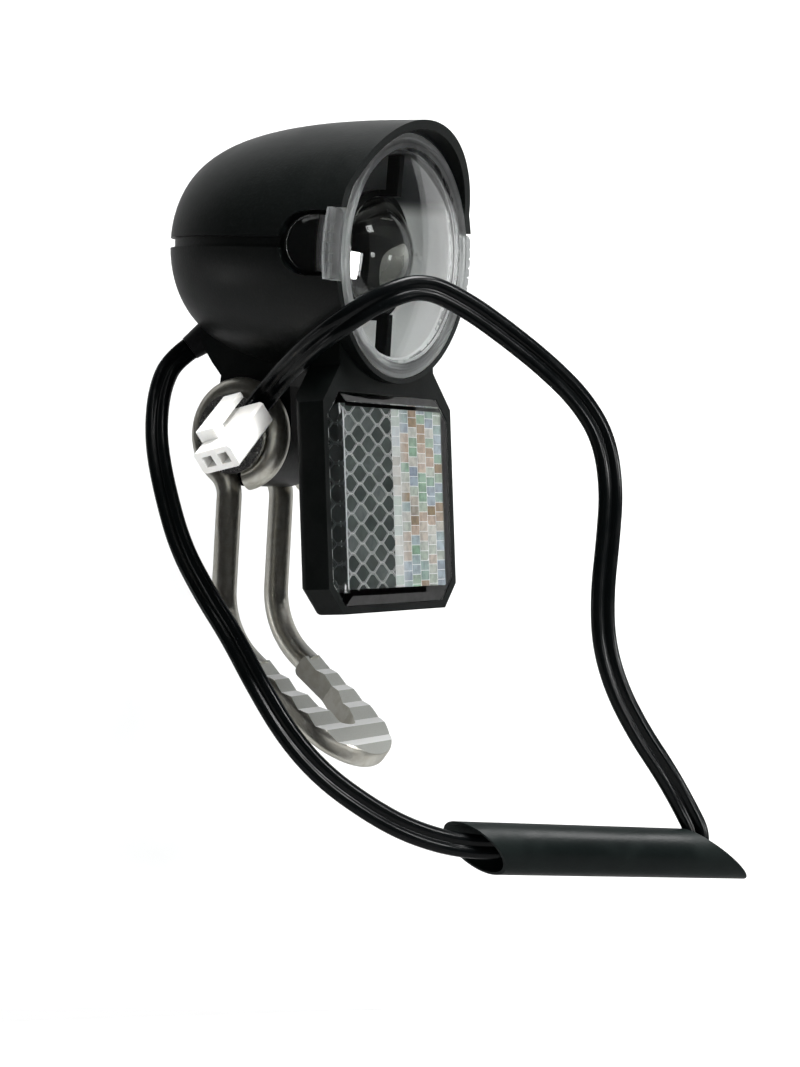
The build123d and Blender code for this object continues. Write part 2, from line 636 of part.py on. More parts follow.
def driver_coil():
    """Drum core choke with its winding on the driver board."""
    back = DRIVER_AT + DRIVER_T
    body = drum(COIL_R, back, back + COIL_H)
    body -= drum(COIL_R + 1, back + COIL_CHEEK, back + COIL_H - COIL_CHEEK)
    return HEAD * Pos(0, 0, PART_OFFSET) * (body + drum(COIL_R - COIL_WIND, back, back + COIL_H))


def driver_capacitor():
    back = DRIVER_AT + DRIVER_T
    can = drum(CAPACITOR_R, back, back + CAPACITOR_H)
    return HEAD * Pos(0, 0, -PART_OFFSET) * fillet(can.edges().sort_by(Axis.Y)[-1], 0.5)


def led_leads():
    """Two straight leads from the driver board through the heat sink to the light's board."""
    face = sink_face()
    z = -FIN_PITCH / 2
    ways = [rod(Vector(x, face, z), Vector(x, DRIVER_AT, z), LEAD_R) for x in (-LEAD_X, LEAD_X)]
    return HEAD * Compound(children=ways)


# Cable entry

def gland_end():
    """End face of the gland, in the row frame, and the direction that it points."""
    start, way = gland_axis()
    end = HEAD * Pos(start + way * (GLAND_FLANGE_T + GLAND_TAIL + GLAND_PROUD))
    out = (HEAD * Pos(start + way * 99)).position - (HEAD * Pos(start)).position
    return end.position, out.normalized()


def cable_gland():
    """Rubber gland: a neck through the wall, a flange each side and a tapered tail."""
    start, way = gland_axis()
    inner = -WALL - GLAND_GRIP
    begin = inner - GLAND_FLANGE_T
    outer = GLAND_PROUD
    tip = outer + GLAND_FLANGE_T + GLAND_TAIL
    step = outer + GLAND_FLANGE_T
    outline = [(0, begin), (GLAND_FLANGE_R, begin), (GLAND_FLANGE_R, inner), (GLAND_NECK_R, inner)]
    outline += [(GLAND_NECK_R, outer), (GLAND_FLANGE_R, outer), (GLAND_FLANGE_R - 0.5, step)]
    outline += [(GLAND_TIP_R + 0.7, step), (GLAND_TIP_R, tip), (0, tip)]
    place = Plane(origin=start, z_dir=way).location * Rot(90, 0, 0)
    return HEAD * (place * spun(outline))


def inner_leads():
    """The cable's two cores, straight from the gland to the driver board."""
    start, way = gland_axis()
    inside = start - way * (WALL + GLAND_GRIP + GLAND_FLANGE_T + RUN)
    across = way.cross(Vector(0, 0, 1)).normalized()
    ways = []
    for x in (-LEAD_SPREAD, LEAD_SPREAD):
        begin = inside + across * x
        reach = (begin.Y - DRIVER_AT - DRIVER_T) / way.Y
        end = begin - way * reach
        ways.append(rod(begin, end, LEAD_R) - Pos(0, DRIVER_AT + DRIVER_T - 20, 0) * Box(60, 40, 60))
    return HEAD * Compound(children=ways)


# Retro-reflector

def reflector_outline(inset, low, high):
    """Front outline of the reflector with cut corners, drawn inside the carrier's edge."""
    half = CARRIER_W / 2 - inset
    cut_x = CORNER_X - 0.4 * inset
    cut_z = CORNER_Z - 0.4 * inset
    side = [(half - cut_x, low), (half, low + cut_z), (half, high - cut_z), (half - cut_x, high)]
    return make_face(Polyline(*side, *[(-x, z) for x, z in reversed(side)], close=True))


def front_plane(depth):
    """Plane parallel to the reflector's front, at a depth behind it."""
    return Plane(origin=(0, depth, 0), x_dir=(1, 0, 0), z_dir=(0, -1, 0))


def plate_height():
    """Top of the reflector's pocket above the carrier's bottom edge."""
    return CARRIER_H + CORNER_Z * 0.4


def reflector_carrier():
    """Frame with a neck up to the lamp, and a pocket for the clear plate."""
    half = CARRIER_W / 2
    side = [(half - CORNER_X, 0), (half, CORNER_Z), (half, CARRIER_H)]
    side += [(NECK_HALF, SHOULDER_H), (NECK_HALF, SHOULDER_H + 6)]
    outline = make_face(Polyline(*side, *[(-x, z) for x, z in reversed(side)], close=True))
    body = extrude(front_plane(CARRIER_D) * outline, amount=CARRIER_D)
    rear = [edge for edge in body.edges().group_by(Axis.Y)[-1] if edge.center().Z < CARRIER_H]
    body = fillet(rear, CARRIER_ROUND)
    body -= extrude(front_plane(POCKET_D) * reflector_outline(RIM, RIM, plate_height()), amount=POCKET_D + 1)
    z = CARRIER_SCREW_Z
    for x in (-CARRIER_SCREW_X, CARRIER_SCREW_X):
        body -= rod(Vector(x, CARRIER_D + 1, z), Vector(x, POCKET_D + 0.7, z), CARRIER_SCREW_R)
    placed = REFLECTOR * body
    room = HEAD * (shell_form(-SEAT) + Pos(0, -20, SHELL_LIFT) * Rot(90, 0, 0) * Cylinder(SHELL_R + SEAT, 40))
    return placed - room


def reflector_lens():
    """Clear plate with a bevelled edge that stands proud of the rim."""
    gap = RIM + SEAT
    back = POCKET_D - BACKING_T
    base = reflector_outline(gap, gap, plate_height() - SEAT)
    body = extrude(front_plane(back) * base, amount=back)
    raised = extrude(front_plane(0) * base, amount=PLATE_RISE, taper=degrees(atan2(PLATE_BEVEL, PLATE_RISE)))
    return REFLECTOR * (body + raised)


def reflector_backing():
    """White sheet that closes the back of the clear plate."""
    gap = RIM + SEAT
    sheet = reflector_outline(gap, gap, plate_height() - SEAT)
    return REFLECTOR * extrude(front_plane(POCKET_D) * sheet, amount=BACKING_T)


def carrier_screws():
    seat = CARRIER_D + TONGUE_T
    length = TONGUE_T + 2.0
    ways = [pan_screw(Vector(x, seat, CARRIER_SCREW_Z), Vector(0, -1, 0), length, CARRIER_SCREW_R - 0.05)
            for x in (-CARRIER_SCREW_X, CARRIER_SCREW_X)]
    return REFLECTOR * Compound(children=ways)


# Lead

def plug_entry():
    """Where the cable meets the plug."""
    return (PLUG * Pos(0, 0, -PLUG_LENGTH / 2)).position


def route_points():
    """The cable's whole route: straight out of the gland, along the list, and straight into the plug."""
    start, way = gland_end()
    entry = plug_entry()
    route = [Vector(*p) for p in ROUTE]
    return [start, start + way * GLAND_STRAIGHT] + route + [entry - PLUG.z_dir * PLUG_STRAIGHT, entry]


def corner_radii(points):
    """The largest arc that each corner's two runs allow."""
    radii = []
    for before, corner, after in zip(points, points[1:], points[2:]):
        come = corner - before
        go = after - corner
        turn = radians(come.get_angle(go))
        radii.append(0.45 * min(come.length, go.length) / tan(turn / 2))
    return radii


def cable():
    points = route_points()
    radii = corner_radii(points)
    path = FilletPolyline(*points, radius=radii)
    tube = sweep(Plane(origin=path @ 0, z_dir=path % 0) * Circle(CABLE_D / 2), path=path)
    runs = [(b - a).length for a, b in zip(points, points[1:])]
    print("cable runs", [round(r, 1) for r in runs])
    print("cable radii", [round(r, 1) for r in radii])
    straight = pi * (CABLE_D / 2) ** 2 * path.length
    print("cable length", round(path.length, 1), "volume ratio", round(tube.volume / straight, 4))
    return tube


def sleeve_cone(length, inset):
    """Slightly conical rod along the sleeve, well past both cuts."""
    fall = (SLEEVE_D - SLEEVE_END_D) / 2 / length
    low = -SLEEVE_D
    high = length + SLEEVE_D
    radii = [SLEEVE_D / 2 - fall * z - inset for z in (low, high)]
    return spun([(0, low), (radii[0], low), (radii[1], high), (0, high)], Axis.Y)


def heat_shrink_sleeve():
    """Loose thin sleeve with both ends cut on the slant."""
    way = SLEEVE_TO - SLEEVE_FROM
    place = Plane(origin=SLEEVE_FROM, x_dir=Vector(0, 0, 1), z_dir=way)
    tube = Rot(90, 0, 0) * (sleeve_cone(way.length, 0) - sleeve_cone(way.length, SLEEVE_WALL))
    first = Plane(origin=(0, 0, SLEEVE_CUT_FROM), z_dir=(-SLEEVE_UP_FROM, -SLEEVE_OUT_FROM, 1))
    last = Plane(origin=(0, 0, SLEEVE_CUT_TO), z_dir=(-SLEEVE_UP_TO, -SLEEVE_OUT_TO, 1))
    tube = split(tube, bisect_by=first, keep=Keep.TOP)
    return place * split(tube, bisect_by=last, keep=Keep.BOTTOM)


def plug_housing():
    """Flat two-way plug housing with a sprung latch along one edge and two wells in its mating end."""
    body = Box(PLUG_W, PLUG_T, PLUG_LENGTH)
    body = chamfer(body.edges().filter_by(Axis.Z), PLUG_CHAMFER)
    for x in (-PLUG_PITCH / 2, PLUG_PITCH / 2):
        deep = PLUG_LENGTH / 2 - PLUG_WELL_DEPTH / 2 + 0.5
        body -= Pos(x, 0, deep) * Box(PLUG_WELL, PLUG_WELL, PLUG_WELL_DEPTH + 1)
    root = PLUG_LENGTH / 2 - LATCH_FROM - LATCH_ROOT / 2
    body += Pos(LATCH_AT, PLUG_T / 2 + LATCH_GAP / 2, root) * Box(LATCH_W, LATCH_GAP + 0.2, LATCH_ROOT)
    length = PLUG_LENGTH - LATCH_FROM + LATCH_PAST
    middle = PLUG_LENGTH / 2 - LATCH_FROM - length / 2
    body += Pos(LATCH_AT, PLUG_T / 2 + LATCH_GAP + LATCH_T / 2, middle) * Box(LATCH_W, LATCH_T, length)
    return PLUG.location * body


def plug_terminals():
    """Crimped contacts that sit in the housing's wells."""
    bottom = PLUG_LENGTH / 2 - PLUG_WELL_DEPTH
    pins = [Pos(x, 0, bottom + 3.5) * Box(TERMINAL, TERMINAL, 7.0) for x in (-PLUG_PITCH / 2, PLUG_PITCH / 2)]
    return PLUG.location * Compound(children=pins)


NODES = {
    "bracket_wire": bracket_wire,
    "pivot_bolt": pivot_bolt,
    "pivot_nut": pivot_nut,
    "pivot_cup_washers": lambda: Compound(children=[cup_washer(-1), cup_washer(1)]),
    "lamp_shell": lamp_shell,
    "front_lens": front_lens,
    "lens_seal": lens_seal,
    "reflector_bowl": reflector_bowl,
    "condenser_optic": condenser_optic,
    "optic_bridge": optic_bridge,
    "led": led,
    "led_board": led_board,
    "heat_sink": heat_sink,
    "heat_sink_screws": heat_sink_screws,
    "driver_board": driver_board,
    "driver_screws": driver_screws,
    "driver_coil": driver_coil,
    "driver_capacitor": driver_capacitor,
    "led_leads": led_leads,
    "inner_leads": inner_leads,
    "cable_gland": cable_gland,
    "reflector_carrier": reflector_carrier,
    "reflector_lens": reflector_lens,
    "reflector_backing": reflector_backing,
    "carrier_screws": carrier_screws,
    "cable": cable,
    "heat_shrink_sleeve": heat_shrink_sleeve,
    "plug_housing": plug_housing,
    "plug_terminals": plug_terminals,
}

for node, make in NODES.items():
    export_step(make(), f"parts/{node}.step")
print("pivot at", round(PIVOT.X, 2), round(PIVOT.Y, 2))
print("lens centre", HEAD.position)
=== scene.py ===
import math

import bmesh
import bpy
from mathutils import Matrix, Vector


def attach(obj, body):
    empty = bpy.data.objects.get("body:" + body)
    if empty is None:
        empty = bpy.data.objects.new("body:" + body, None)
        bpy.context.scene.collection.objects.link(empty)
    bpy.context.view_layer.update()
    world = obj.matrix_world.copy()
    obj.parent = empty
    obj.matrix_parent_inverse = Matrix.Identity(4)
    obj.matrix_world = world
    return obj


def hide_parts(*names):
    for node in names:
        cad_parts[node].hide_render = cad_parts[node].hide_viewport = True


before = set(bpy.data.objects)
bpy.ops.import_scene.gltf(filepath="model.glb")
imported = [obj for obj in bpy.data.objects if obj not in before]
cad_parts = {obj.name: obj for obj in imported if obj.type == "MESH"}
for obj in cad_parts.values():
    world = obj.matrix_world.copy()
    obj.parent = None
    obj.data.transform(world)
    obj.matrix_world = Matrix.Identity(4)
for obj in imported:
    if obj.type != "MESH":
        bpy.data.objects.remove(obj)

bl_info = {
    "name": "Bicycle headlight on a wire bracket",
    "version": (1, 0, 0),
    "blender": (4, 5, 0),
    "location": "3D View > Sidebar > Headlight",
    "description": "Finishes the packed headlight: materials, twin cable, prism cells and a plain stage",
    "category": "Object",
}

MM = 0.001

# Frames of the lamp, the reflector plate and the foot, as in the part's source
LENS_CENTRE = Vector((0, -0.02119, 0.09232))
LENS_BACK = Vector((0, math.cos(math.radians(7)), math.sin(math.radians(7))))
PLATE_CORNER = Vector((0, -0.01619, 0.02331))
FOOT_NORMAL = Vector((0, -0.656059, 0.75471))

# Places in the finishes, each from where a mask is 0 to where it is 1. On the lens and in the bowl these are
# millimetres from the optical axis, behind the lens plane, to the side, or up
FLANGE_RADIUS, FLANGE_DEPTH = (20.4, 21.2), (5.5, 4.0)
FLANGE_RINGS = ((20.7, 21.2, 21.7, 22.1), (22.5, 22.9, 23.4, 23.8))     # these rise and fall again
TAB_SIDE = (23.7, 24.0)
# Where the bowl is painted dark: a painted reflection of the optic's black ring round the middle, painted
# shade at the top
PAINTED_REFLECTION_RADIUS, PAINTED_SHADE_HEIGHT = (14.5, 11.0), (8.5, 12.5)
SATIN_RADIUS = (9.0, 17.0)
RIM_DEPTH = (0.6, -0.4)
FOOT_LIFT = (5.4 * MM, 4.8 * MM)            # along the foot's normal, in metres, as Object coordinates are
HIGHLIGHT_PAST, HIGHLIGHT_WIDTH = 0.2, (0.3, 0.15)    # the painted highlight line along the plate's edge, in millimetres past it
SEAM_SIDE = (7.0, 2.2)                      # the paler cells, in millimetres right of the plate's middle
# Painted dark past the plate's left edge, standing in for the dark carrier wall seen through the plate's
# bevel, and the painted highlight line along that edge
PAINTED_BEVEL_DARK, PAINTED_EDGE_HIGHLIGHT = (0.004, 0.006, 0.006), (0.85, 0.87, 0.87)

# The prism cells behind the reflector plate: the plane that they stand in and how far up they reach,
# then where the middle of each field is in that plane and how far across it reaches
CELLS_PLANE = PLATE_CORNER + Vector((0, 2.25 * MM, 0))
CELLS_UP = (PLATE_CORNER.z + 4.6 * MM, PLATE_CORNER.z + 39.6 * MM)
HEXAGONS_MIDDLE = Vector((-9.6 * MM, 0, 21.0 * MM))
HEXAGONS_ACROSS = (-21.6 * MM, 1.0 * MM)
BRICKS_MIDDLE = Vector((10.6 * MM, 0, 21.6 * MM))
BRICKS_ACROSS = (0.9 * MM, 20.3 * MM)

# The ridges of a hexagonal cell, each as a share of the cell's outline and its height over the face
HEXAGON_RIDGES = ((0.99, 0.25 * MM), (0.87, 0.12 * MM))
HEXAGON_LEAN, BRICK_LEAN = 0.05, 0.06       # the most that a cell's face leans, in radians
BRICK_DEPTH, BED_DEPTH = 0.3 * MM, 0.1 * MM
TINT_PATCHES = 110.0                        # scale of the patches in which bricks share a tint

# The cable's route, as in the part's source but 0.7 mm lower where the wider twin cable enters the sleeve:
# gland end, straight out, the list, and into the plug
ROUTE = [
    (-0.00305, 0.02919, 0.07794), (-0.00512, 0.03218, 0.07547), (-0.0088, 0.0325, 0.0704),
    (-0.0122, 0.0314, 0.0639), (-0.015, 0.0294, 0.0569), (-0.0168, 0.0263, 0.0479),
    (-0.0176, 0.0225, 0.0373), (-0.018, 0.0166, 0.0279), (-0.0182, 0.0104, 0.0196),
    (-0.018, 0.005, 0.0102), (-0.0168, -0.0008, 0.0003), (-0.0136, -0.0064, -0.0076),
    (-0.009, -0.0133, -0.0142), (-0.0045, -0.0203, -0.0192), (0.0027, -0.0276, -0.0227),
    (0.0092, -0.0369, -0.0233), (0.0151, -0.0461, -0.0247), (0.0208, -0.0554, -0.0262),
    (0.0265, -0.0641, -0.027), (0.0283, -0.0666, -0.023), (0.0263, -0.0639, -0.0158),
    (0.0229, -0.0617, -0.0091), (0.0192, -0.0586, -0.0019), (0.0156, -0.0557, 0.0069),
    (0.0135, -0.0542, 0.016), (0.0125, -0.0548, 0.0258), (0.0123, -0.0565, 0.0358),
    (0.0113, -0.0581, 0.0456), (0.0093, -0.0578, 0.0551), (0.0053, -0.0552, 0.0624),
    (0.0003, -0.0508, 0.0688), (-0.0052, -0.0456, 0.0748), (-0.0113, -0.0403, 0.0804),
    (-0.0175, -0.0349, 0.0842), (-0.0236, -0.0295, 0.0817), (-0.0267, -0.0232, 0.0776),
    (-0.024, -0.0143, 0.0742), (-0.0186, -0.0045, 0.0701), (-0.0144, 0.0018, 0.0674),
    (-0.0161, 0.00422, 0.06388), (-0.0187, 0.00413, 0.06201),
]
LAID_ON = Vector((-0.859, -0.511, -0.011))      # the cable's flat side faces this way
LEAST_LEAN = 0.2                                # below this, it runs along LAID_ON and keeps its last side
EASED_OVER = 16                                 # points on each side over which the flat side is evened out
TWIST, TWIST_WAVES, TWIST_START = math.radians(16), 11.0, 0.6
CORE_POINTS = 14                                # points round one core
CORE_INWARDS = 0.93                             # how far a core's outline goes towards the other, as a share,
CORE_ROUND = math.radians(152)                  # and the most that it goes round, from its outer side

# Camera, fitted to the photograph
EYE = Vector((-0.382937, -0.245453, 0.033713))
EYE_RIGHT = Vector((0.511355, -0.858731, -0.033141))
EYE_UP = Vector((0.007866, -0.033886, 0.999395))
EYE_BACK = Vector((-0.859334, -0.511306, -0.010573))
EYE_LENS = 76.993
EYE_SENSOR = 36.0

# Stage, in metres. A sheet reaches from left to right, and then the floor towards and away from the camera,
# and the wall down and up
FLOOR_MIDDLE = Vector((0, 0, -0.066))
FLOOR_REACH = ((-0.32, 0.11), (0.14, -0.05))
WALL_MIDDLE = -EYE_BACK * 0.05 + Vector((0, 0, 0.03))
WALL_REACH = ((-0.32, 0.11), (-0.096, 0.32))
STAGE_WHITE, STAGE_MIRRORED = (0.6, 0.605, 0.605), (0.25, 0.25, 0.25)
AIM = Vector((0, -0.02, 0.04))
WINDOW_TURNS, WINDOW_AWAY = (50, 84), 0.6       # degrees to the right of the camera, and metres from the aim


# Settings that a user would change

def length_setting(name, description, millimetres):
    return bpy.props.FloatProperty(
        name=name, description=description, default=millimetres * MM, unit="LENGTH")


def count_setting(name, description, default):
    return bpy.props.IntProperty(name=name, description=description, default=default, min=1)


def colour_setting(name, description, red, green, blue):
    return bpy.props.FloatVectorProperty(
        name=name, description=description, default=(red, green, blue, 1), size=4, subtype="COLOR")


class HeadlightSizes(bpy.types.PropertyGroup):
    cable_width: length_setting("Cable width", "Across both cores of the twin cable", 4.8)
    core_width: length_setting("Core width", "Across one core of the twin cable", 2.5)
    hex_pitch: length_setting("Hexagon pitch", "Height of one hexagonal prism cell", 3.82)
    hex_width: length_setting("Hexagon width", "Corner to corner across one hexagonal cell", 5.8)
    hex_flat: length_setting("Hexagon flat", "Length of the level edges of a hexagonal cell", 1.2)
    hex_columns: count_setting("Hexagon columns", "Columns of hexagonal prism cells", 8)
    hex_rows: count_setting("Hexagon rows", "Rows of hexagonal prism cells", 11)
    brick_width: length_setting("Brick width", "Pitch of the brick-shaped prism cells across", 3.3)
    brick_height: length_setting("Brick height", "Pitch of the brick-shaped prism cells upwards", 1.95)
    brick_columns: count_setting("Brick columns", "Columns of brick-shaped prism cells", 6)
    brick_rows: count_setting("Brick rows", "Rows of brick-shaped prism cells", 21)
    ridge: length_setting("Ridge width", "Width of the pale ridges between the cells", 0.11)
    seed: bpy.props.IntProperty(name="Seed", description="Seed of the cells' tilts and tints", default=5)


class HeadlightColours(bpy.types.PropertyGroup):
    housing: colour_setting("Housing", "Black moulded plastic", 0.0022, 0.003, 0.0028)
    rubber: colour_setting("Rubber", "Gland and seal", 0.006, 0.006, 0.0065)
    jacket: colour_setting("Cable jacket", "Black cable jacket", 0.0015, 0.002, 0.0022)
    sleeve: colour_setting("Sleeve", "Loose dark sleeve", 0.003, 0.005, 0.0048)
    steel: colour_setting("Stainless steel", "Bracket wire", 0.68, 0.67, 0.61)
    plated: colour_setting("Plated steel", "Bolt, nut, washers and screws", 0.66, 0.66, 0.65)
    bowl: colour_setting("Bowl", "Metallised bowl", 0.96, 0.97, 0.96)
    clear: colour_setting("Clear plastic", "Lens and reflector plate", 0.97, 0.985, 0.98)
    # The optic's darker tint is painted shade: it stands in for the dark lamp interior seen through the clear
    # optic
    optic: colour_setting("Optic", "Darkened clear optic", 0.52, 0.52, 0.49)
    nylon: colour_setting("Plug", "White plug housing", 0.86, 0.86, 0.84)


# Node helpers

def labelled(values):
    """Values by socket label, from values by keyword."""
    return {keyword.replace("_", " "): value for keyword, value in values.items()}


def node(tree, kind, inputs=None, **settings):
    """Adds a node, applies its settings, and sets or links its inputs by name or number."""
    made = tree.nodes.new(kind)
    for key, value in settings.items():
        setattr(made, key, value)
    for key, value in (inputs or {}).items():
        if isinstance(value, bpy.types.NodeSocket):
            tree.links.new(value, made.inputs[key])
        else:
            made.inputs[key].default_value = value
    return made


def maths(tree, operation, a, b=0.0, **settings):
    return node(tree, "ShaderNodeMath", {0: a, 1: b}, operation=operation, **settings).outputs[0]


def times(tree, a, b):
    return maths(tree, "MULTIPLY", a, b)


def vectors(tree, operation, a, b=(0.0, 0.0, 0.0)):
    return node(tree, "ShaderNodeVectorMath", {0: a, 1: b}, operation=operation).outputs[0]


def along(tree, vector, direction):
    """How far a vector goes in a direction."""
    return node(tree, "ShaderNodeVectorMath", {0: vector, 1: tuple(direction)},
                operation="DOT_PRODUCT").outputs["Value"]


def axes(tree, vector):
    return node(tree, "ShaderNodeSeparateXYZ", {0: vector}).outputs


def ramp(tree, value, low, high, to_low=0.0, to_high=1.0):
    """Value taken smoothly from one range to another."""
    return node(tree, "ShaderNodeMapRange", {
        "Value": value, "From Min": low, "From Max": high, "To Min": to_low, "To Max": to_high},
        interpolation_type="SMOOTHSTEP").outputs["Result"]


def between(tree, mask, low, high):
    """Value that goes from low to high as a mask goes from 0 to 1."""
    return ramp(tree, mask, 0, 1, low, high)


def band(tree, value, start, full, fading, end):
    """Mask that rises from start to full and falls from fading to end."""
    return times(tree, ramp(tree, value, start, full), ramp(tree, value, end, fading))


def opaque(colour):
    """Colour as a node takes it: a socket as it is, anything else as red, green, blue and 1."""
    return colour if isinstance(colour, bpy.types.NodeSocket) else (*colour[:3], 1)


def toned(colour, tone):
    return tuple(part * tone for part in colour[:3])


# A Mix node lists the sockets of all its kinds together, so they go by number

def blend_colour(tree, mask, first, second):
    """First colour where the mask is 0, second where it is 1."""
    colours = {0: mask, 6: opaque(first), 7: opaque(second)}
    return node(tree, "ShaderNodeMix", colours, data_type="RGBA").outputs[2]


def blend_value(tree, mask, first, second):
    """First value where the mask is 0, second where it is 1."""
    return node(tree, "ShaderNodeMix", {0: mask, 2: first, 3: second}, data_type="FLOAT").outputs[0]


def on_object(tree):
    """Place on the object, in metres."""
    return node(tree, "ShaderNodeTexCoord").outputs["Object"]


def in_mm(tree, length):
    return times(tree, length, 1 / MM)


def per_mm(tree, size):
    """Texture scale at which a pattern has a size in millimetres."""
    return maths(tree, "DIVIDE", 1 / MM, size)


def noise(tree, place, scale, **values):
    return node(tree, "ShaderNodeTexNoise", {"Vector": place, "Scale": scale, **values}).outputs["Fac"]


# Shared shader node groups

def new_group(name, inputs, outputs):
    """Empty shader node group with named sockets; gives the tree, its inputs' and its outputs' sockets."""
    tree = bpy.data.node_groups.new(name, "ShaderNodeTree")
    for label, value in inputs.items():
        tree.interface.new_socket(label, in_out="INPUT", socket_type="NodeSocketFloat").default_value = value
    for label in outputs:
        tree.interface.new_socket(label, in_out="OUTPUT", socket_type="NodeSocketFloat")
    return tree, tree.nodes.new("NodeGroupInput").outputs, tree.nodes.new("NodeGroupOutput").inputs


def grain_group():
    """Fine moulded grain: a height and a slow patchiness, both from 0 to 1. Sizes are in millimetres."""
    tree, given, out = new_group(
        "Moulded grain", {"Grain size": 0.35, "Patch size": 9.0}, ["Height", "Patches"])
    place = on_object(tree)
    fine = per_mm(tree, given["Grain size"])
    grain = noise(tree, place, fine, Detail=3.0, Roughness=0.6)
    cells = node(tree, "ShaderNodeTexVoronoi", {"Vector": place, "Scale": fine}, feature="SMOOTH_F1")
    tree.links.new(times(tree, grain, cells.outputs["Distance"]), out["Height"])
    patch = noise(tree, place, per_mm(tree, given["Patch size"]), Detail=4.0, Roughness=0.55)
    tree.links.new(ramp(tree, patch, 0.36, 0.64), out["Patches"])
    return tree


def lens_axis_group():
    """Place about the optical axis, in millimetres: distance, depth behind the lens, to the side and up."""
    tree, _, out = new_group("From the lens axis", {}, ["Radius", "Depth", "Side", "Height"])
    arm = vectors(tree, "SUBTRACT", on_object(tree), tuple(LENS_CENTRE))
    depth = along(tree, arm, LENS_BACK)
    inwards = node(tree, "ShaderNodeVectorMath", {0: tuple(LENS_BACK), "Scale": depth},
                   operation="SCALE").outputs[0]
    across = vectors(tree, "SUBTRACT", arm, inwards)
    radius = node(tree, "ShaderNodeVectorMath", {0: across}, operation="LENGTH").outputs["Value"]
    parts = axes(tree, across)
    for label, length in (("Radius", radius), ("Depth", depth), ("Side", parts["X"]), ("Height", parts["Z"])):
        tree.links.new(in_mm(tree, length), out[label])
    return tree


def smear_group():
    """Handling marks on metal, from 0 to 1. The size is in millimetres."""
    tree, given, out = new_group("Handled metal", {"Mark size": 2.5}, ["Marks"])
    scale = per_mm(tree, given["Mark size"])
    marks = noise(tree, on_object(tree), scale, Detail=5.0, Roughness=0.62, Distortion=0.4)
    tree.links.new(ramp(tree, marks, 0.38, 0.66), out["Marks"])
    return tree


def plate_edge_group():
    """Masks under the reflector plate: painted dark past its left edge for the dark carrier wall seen through
    the bevel, a painted highlight line along that edge, and the paler cells beside the seam of the two
    fields. Sizes are in millimetres."""
    tree, given, out = new_group(
        "Under the plate's edge", {"Edge": -16.7, "Softness": 0.25}, ["Mask", "Line", "Seam"])
    side = in_mm(tree, axes(tree, on_object(tree))["X"])
    past = maths(tree, "SUBTRACT", given["Edge"], side)
    tree.links.new(maths(tree, "DIVIDE", past, given["Softness"], use_clamp=True), out["Mask"])
    away = maths(tree, "ABSOLUTE", maths(tree, "ADD", past, HIGHLIGHT_PAST))
    tree.links.new(ramp(tree, away, *HIGHLIGHT_WIDTH), out["Line"])
    tree.links.new(ramp(tree, side, *SEAM_SIDE), out["Seam"])
    return tree


GROUPS = {}


def placed(tree, make, **values):
    """A shared group, built once, inside a material, with this material's own values; gives its outputs."""
    if make.__name__ not in GROUPS:
        GROUPS[make.__name__] = make()
    return node(tree, "ShaderNodeGroup", labelled(values), node_tree=GROUPS[make.__name__]).outputs


def grained(tree, size, patch=9.0):
    """The moulded grain in a material, with its sizes in millimetres; gives its outputs."""
    return placed(tree, grain_group, Grain_size=size, Patch_size=patch)


def finish(name, colour, roughness, **values):
    """New material with a Principled shader; gives the material, its tree and the shader."""
    material = bpy.data.materials.new(name)
    material.use_nodes = True
    tree = material.node_tree
    shader = tree.nodes["Principled BSDF"]
    shader.inputs["Base Color"].default_value = opaque(colour)
    shader.inputs["Roughness"].default_value = roughness
    for label, value in labelled(values).items():
        shader.inputs[label].default_value = value
    material.diffuse_color = opaque(colour)
    return material, tree, shader


def feed(tree, shader, **sockets):
    """Links sockets to the shader's inputs of those names."""
    for label, socket in labelled(sockets).items():
        tree.links.new(socket, shader.inputs[label])


def bump(tree, shader, height, depth):
    """Raises the surface by a height from 0 to 1 times a depth in metres."""
    made = node(tree, "ShaderNodeBump", {"Height": height, "Distance": depth})
    feed(tree, shader, Normal=made.outputs["Normal"])


# Finishes

def moulded(name, colour, roughness, grain=0.35, specular=0.13):
    """Black moulded plastic with a fine grain and slightly patchy gloss."""
    material, tree, shader = finish(name, colour, roughness, Specular_IOR_Level=specular)
    mark = grained(tree, grain)
    specks = ramp(tree, mark["Height"], 0.1, 0.5)
    feed(tree, shader, Base_Color=blend_colour(tree, specks, colour, toned(colour, 1.5)),
         Roughness=between(tree, mark["Patches"], roughness - 0.05, roughness + 0.07))
    bump(tree, shader, mark["Height"], 0.02 * MM)
    return material


def shell_black(colours):
    """Moulded black whose front edge band, which the tool left rougher, is a shade lighter."""
    material, tree, shader = finish("Housing black", colours.housing, 0.36, Specular_IOR_Level=0.2)
    mark = grained(tree, 0.4, 14.0)
    ahead = ramp(tree, placed(tree, lens_axis_group)["Depth"], *RIM_DEPTH)
    facing = along(tree, node(tree, "ShaderNodeNewGeometry").outputs["True Normal"], -LENS_BACK)
    rim = times(tree, ahead, ramp(tree, facing, 0.75, 0.95))
    specks, edge_specks = ramp(tree, mark["Height"], 0.1, 0.5), ramp(tree, mark["Height"], 0.08, 0.42)
    base = blend_colour(tree, specks, colours.housing, (0.0042, 0.0056, 0.0054))
    edge = blend_colour(tree, edge_specks, (0.002, 0.003, 0.0028), (0.005, 0.0065, 0.006))
    matt = between(tree, mark["Patches"], 0.33, 0.39)
    feed(tree, shader, Base_Color=blend_colour(tree, rim, base, edge),
         Roughness=maths(tree, "ADD", matt, times(tree, rim, 0.15)))
    bump(tree, shader, mark["Height"], 0.03 * MM)
    return material


def clear_moulding(name, colour):
    """Polished clear plastic with faint moulding haze."""
    material, tree, shader = finish(name, colour, 0.01, Transmission_Weight=1.0, IOR=1.49)
    mark = grained(tree, 1.2, 6.0)
    feed(tree, shader, Roughness=between(tree, mark["Patches"], 0.0, 0.006))
    return material


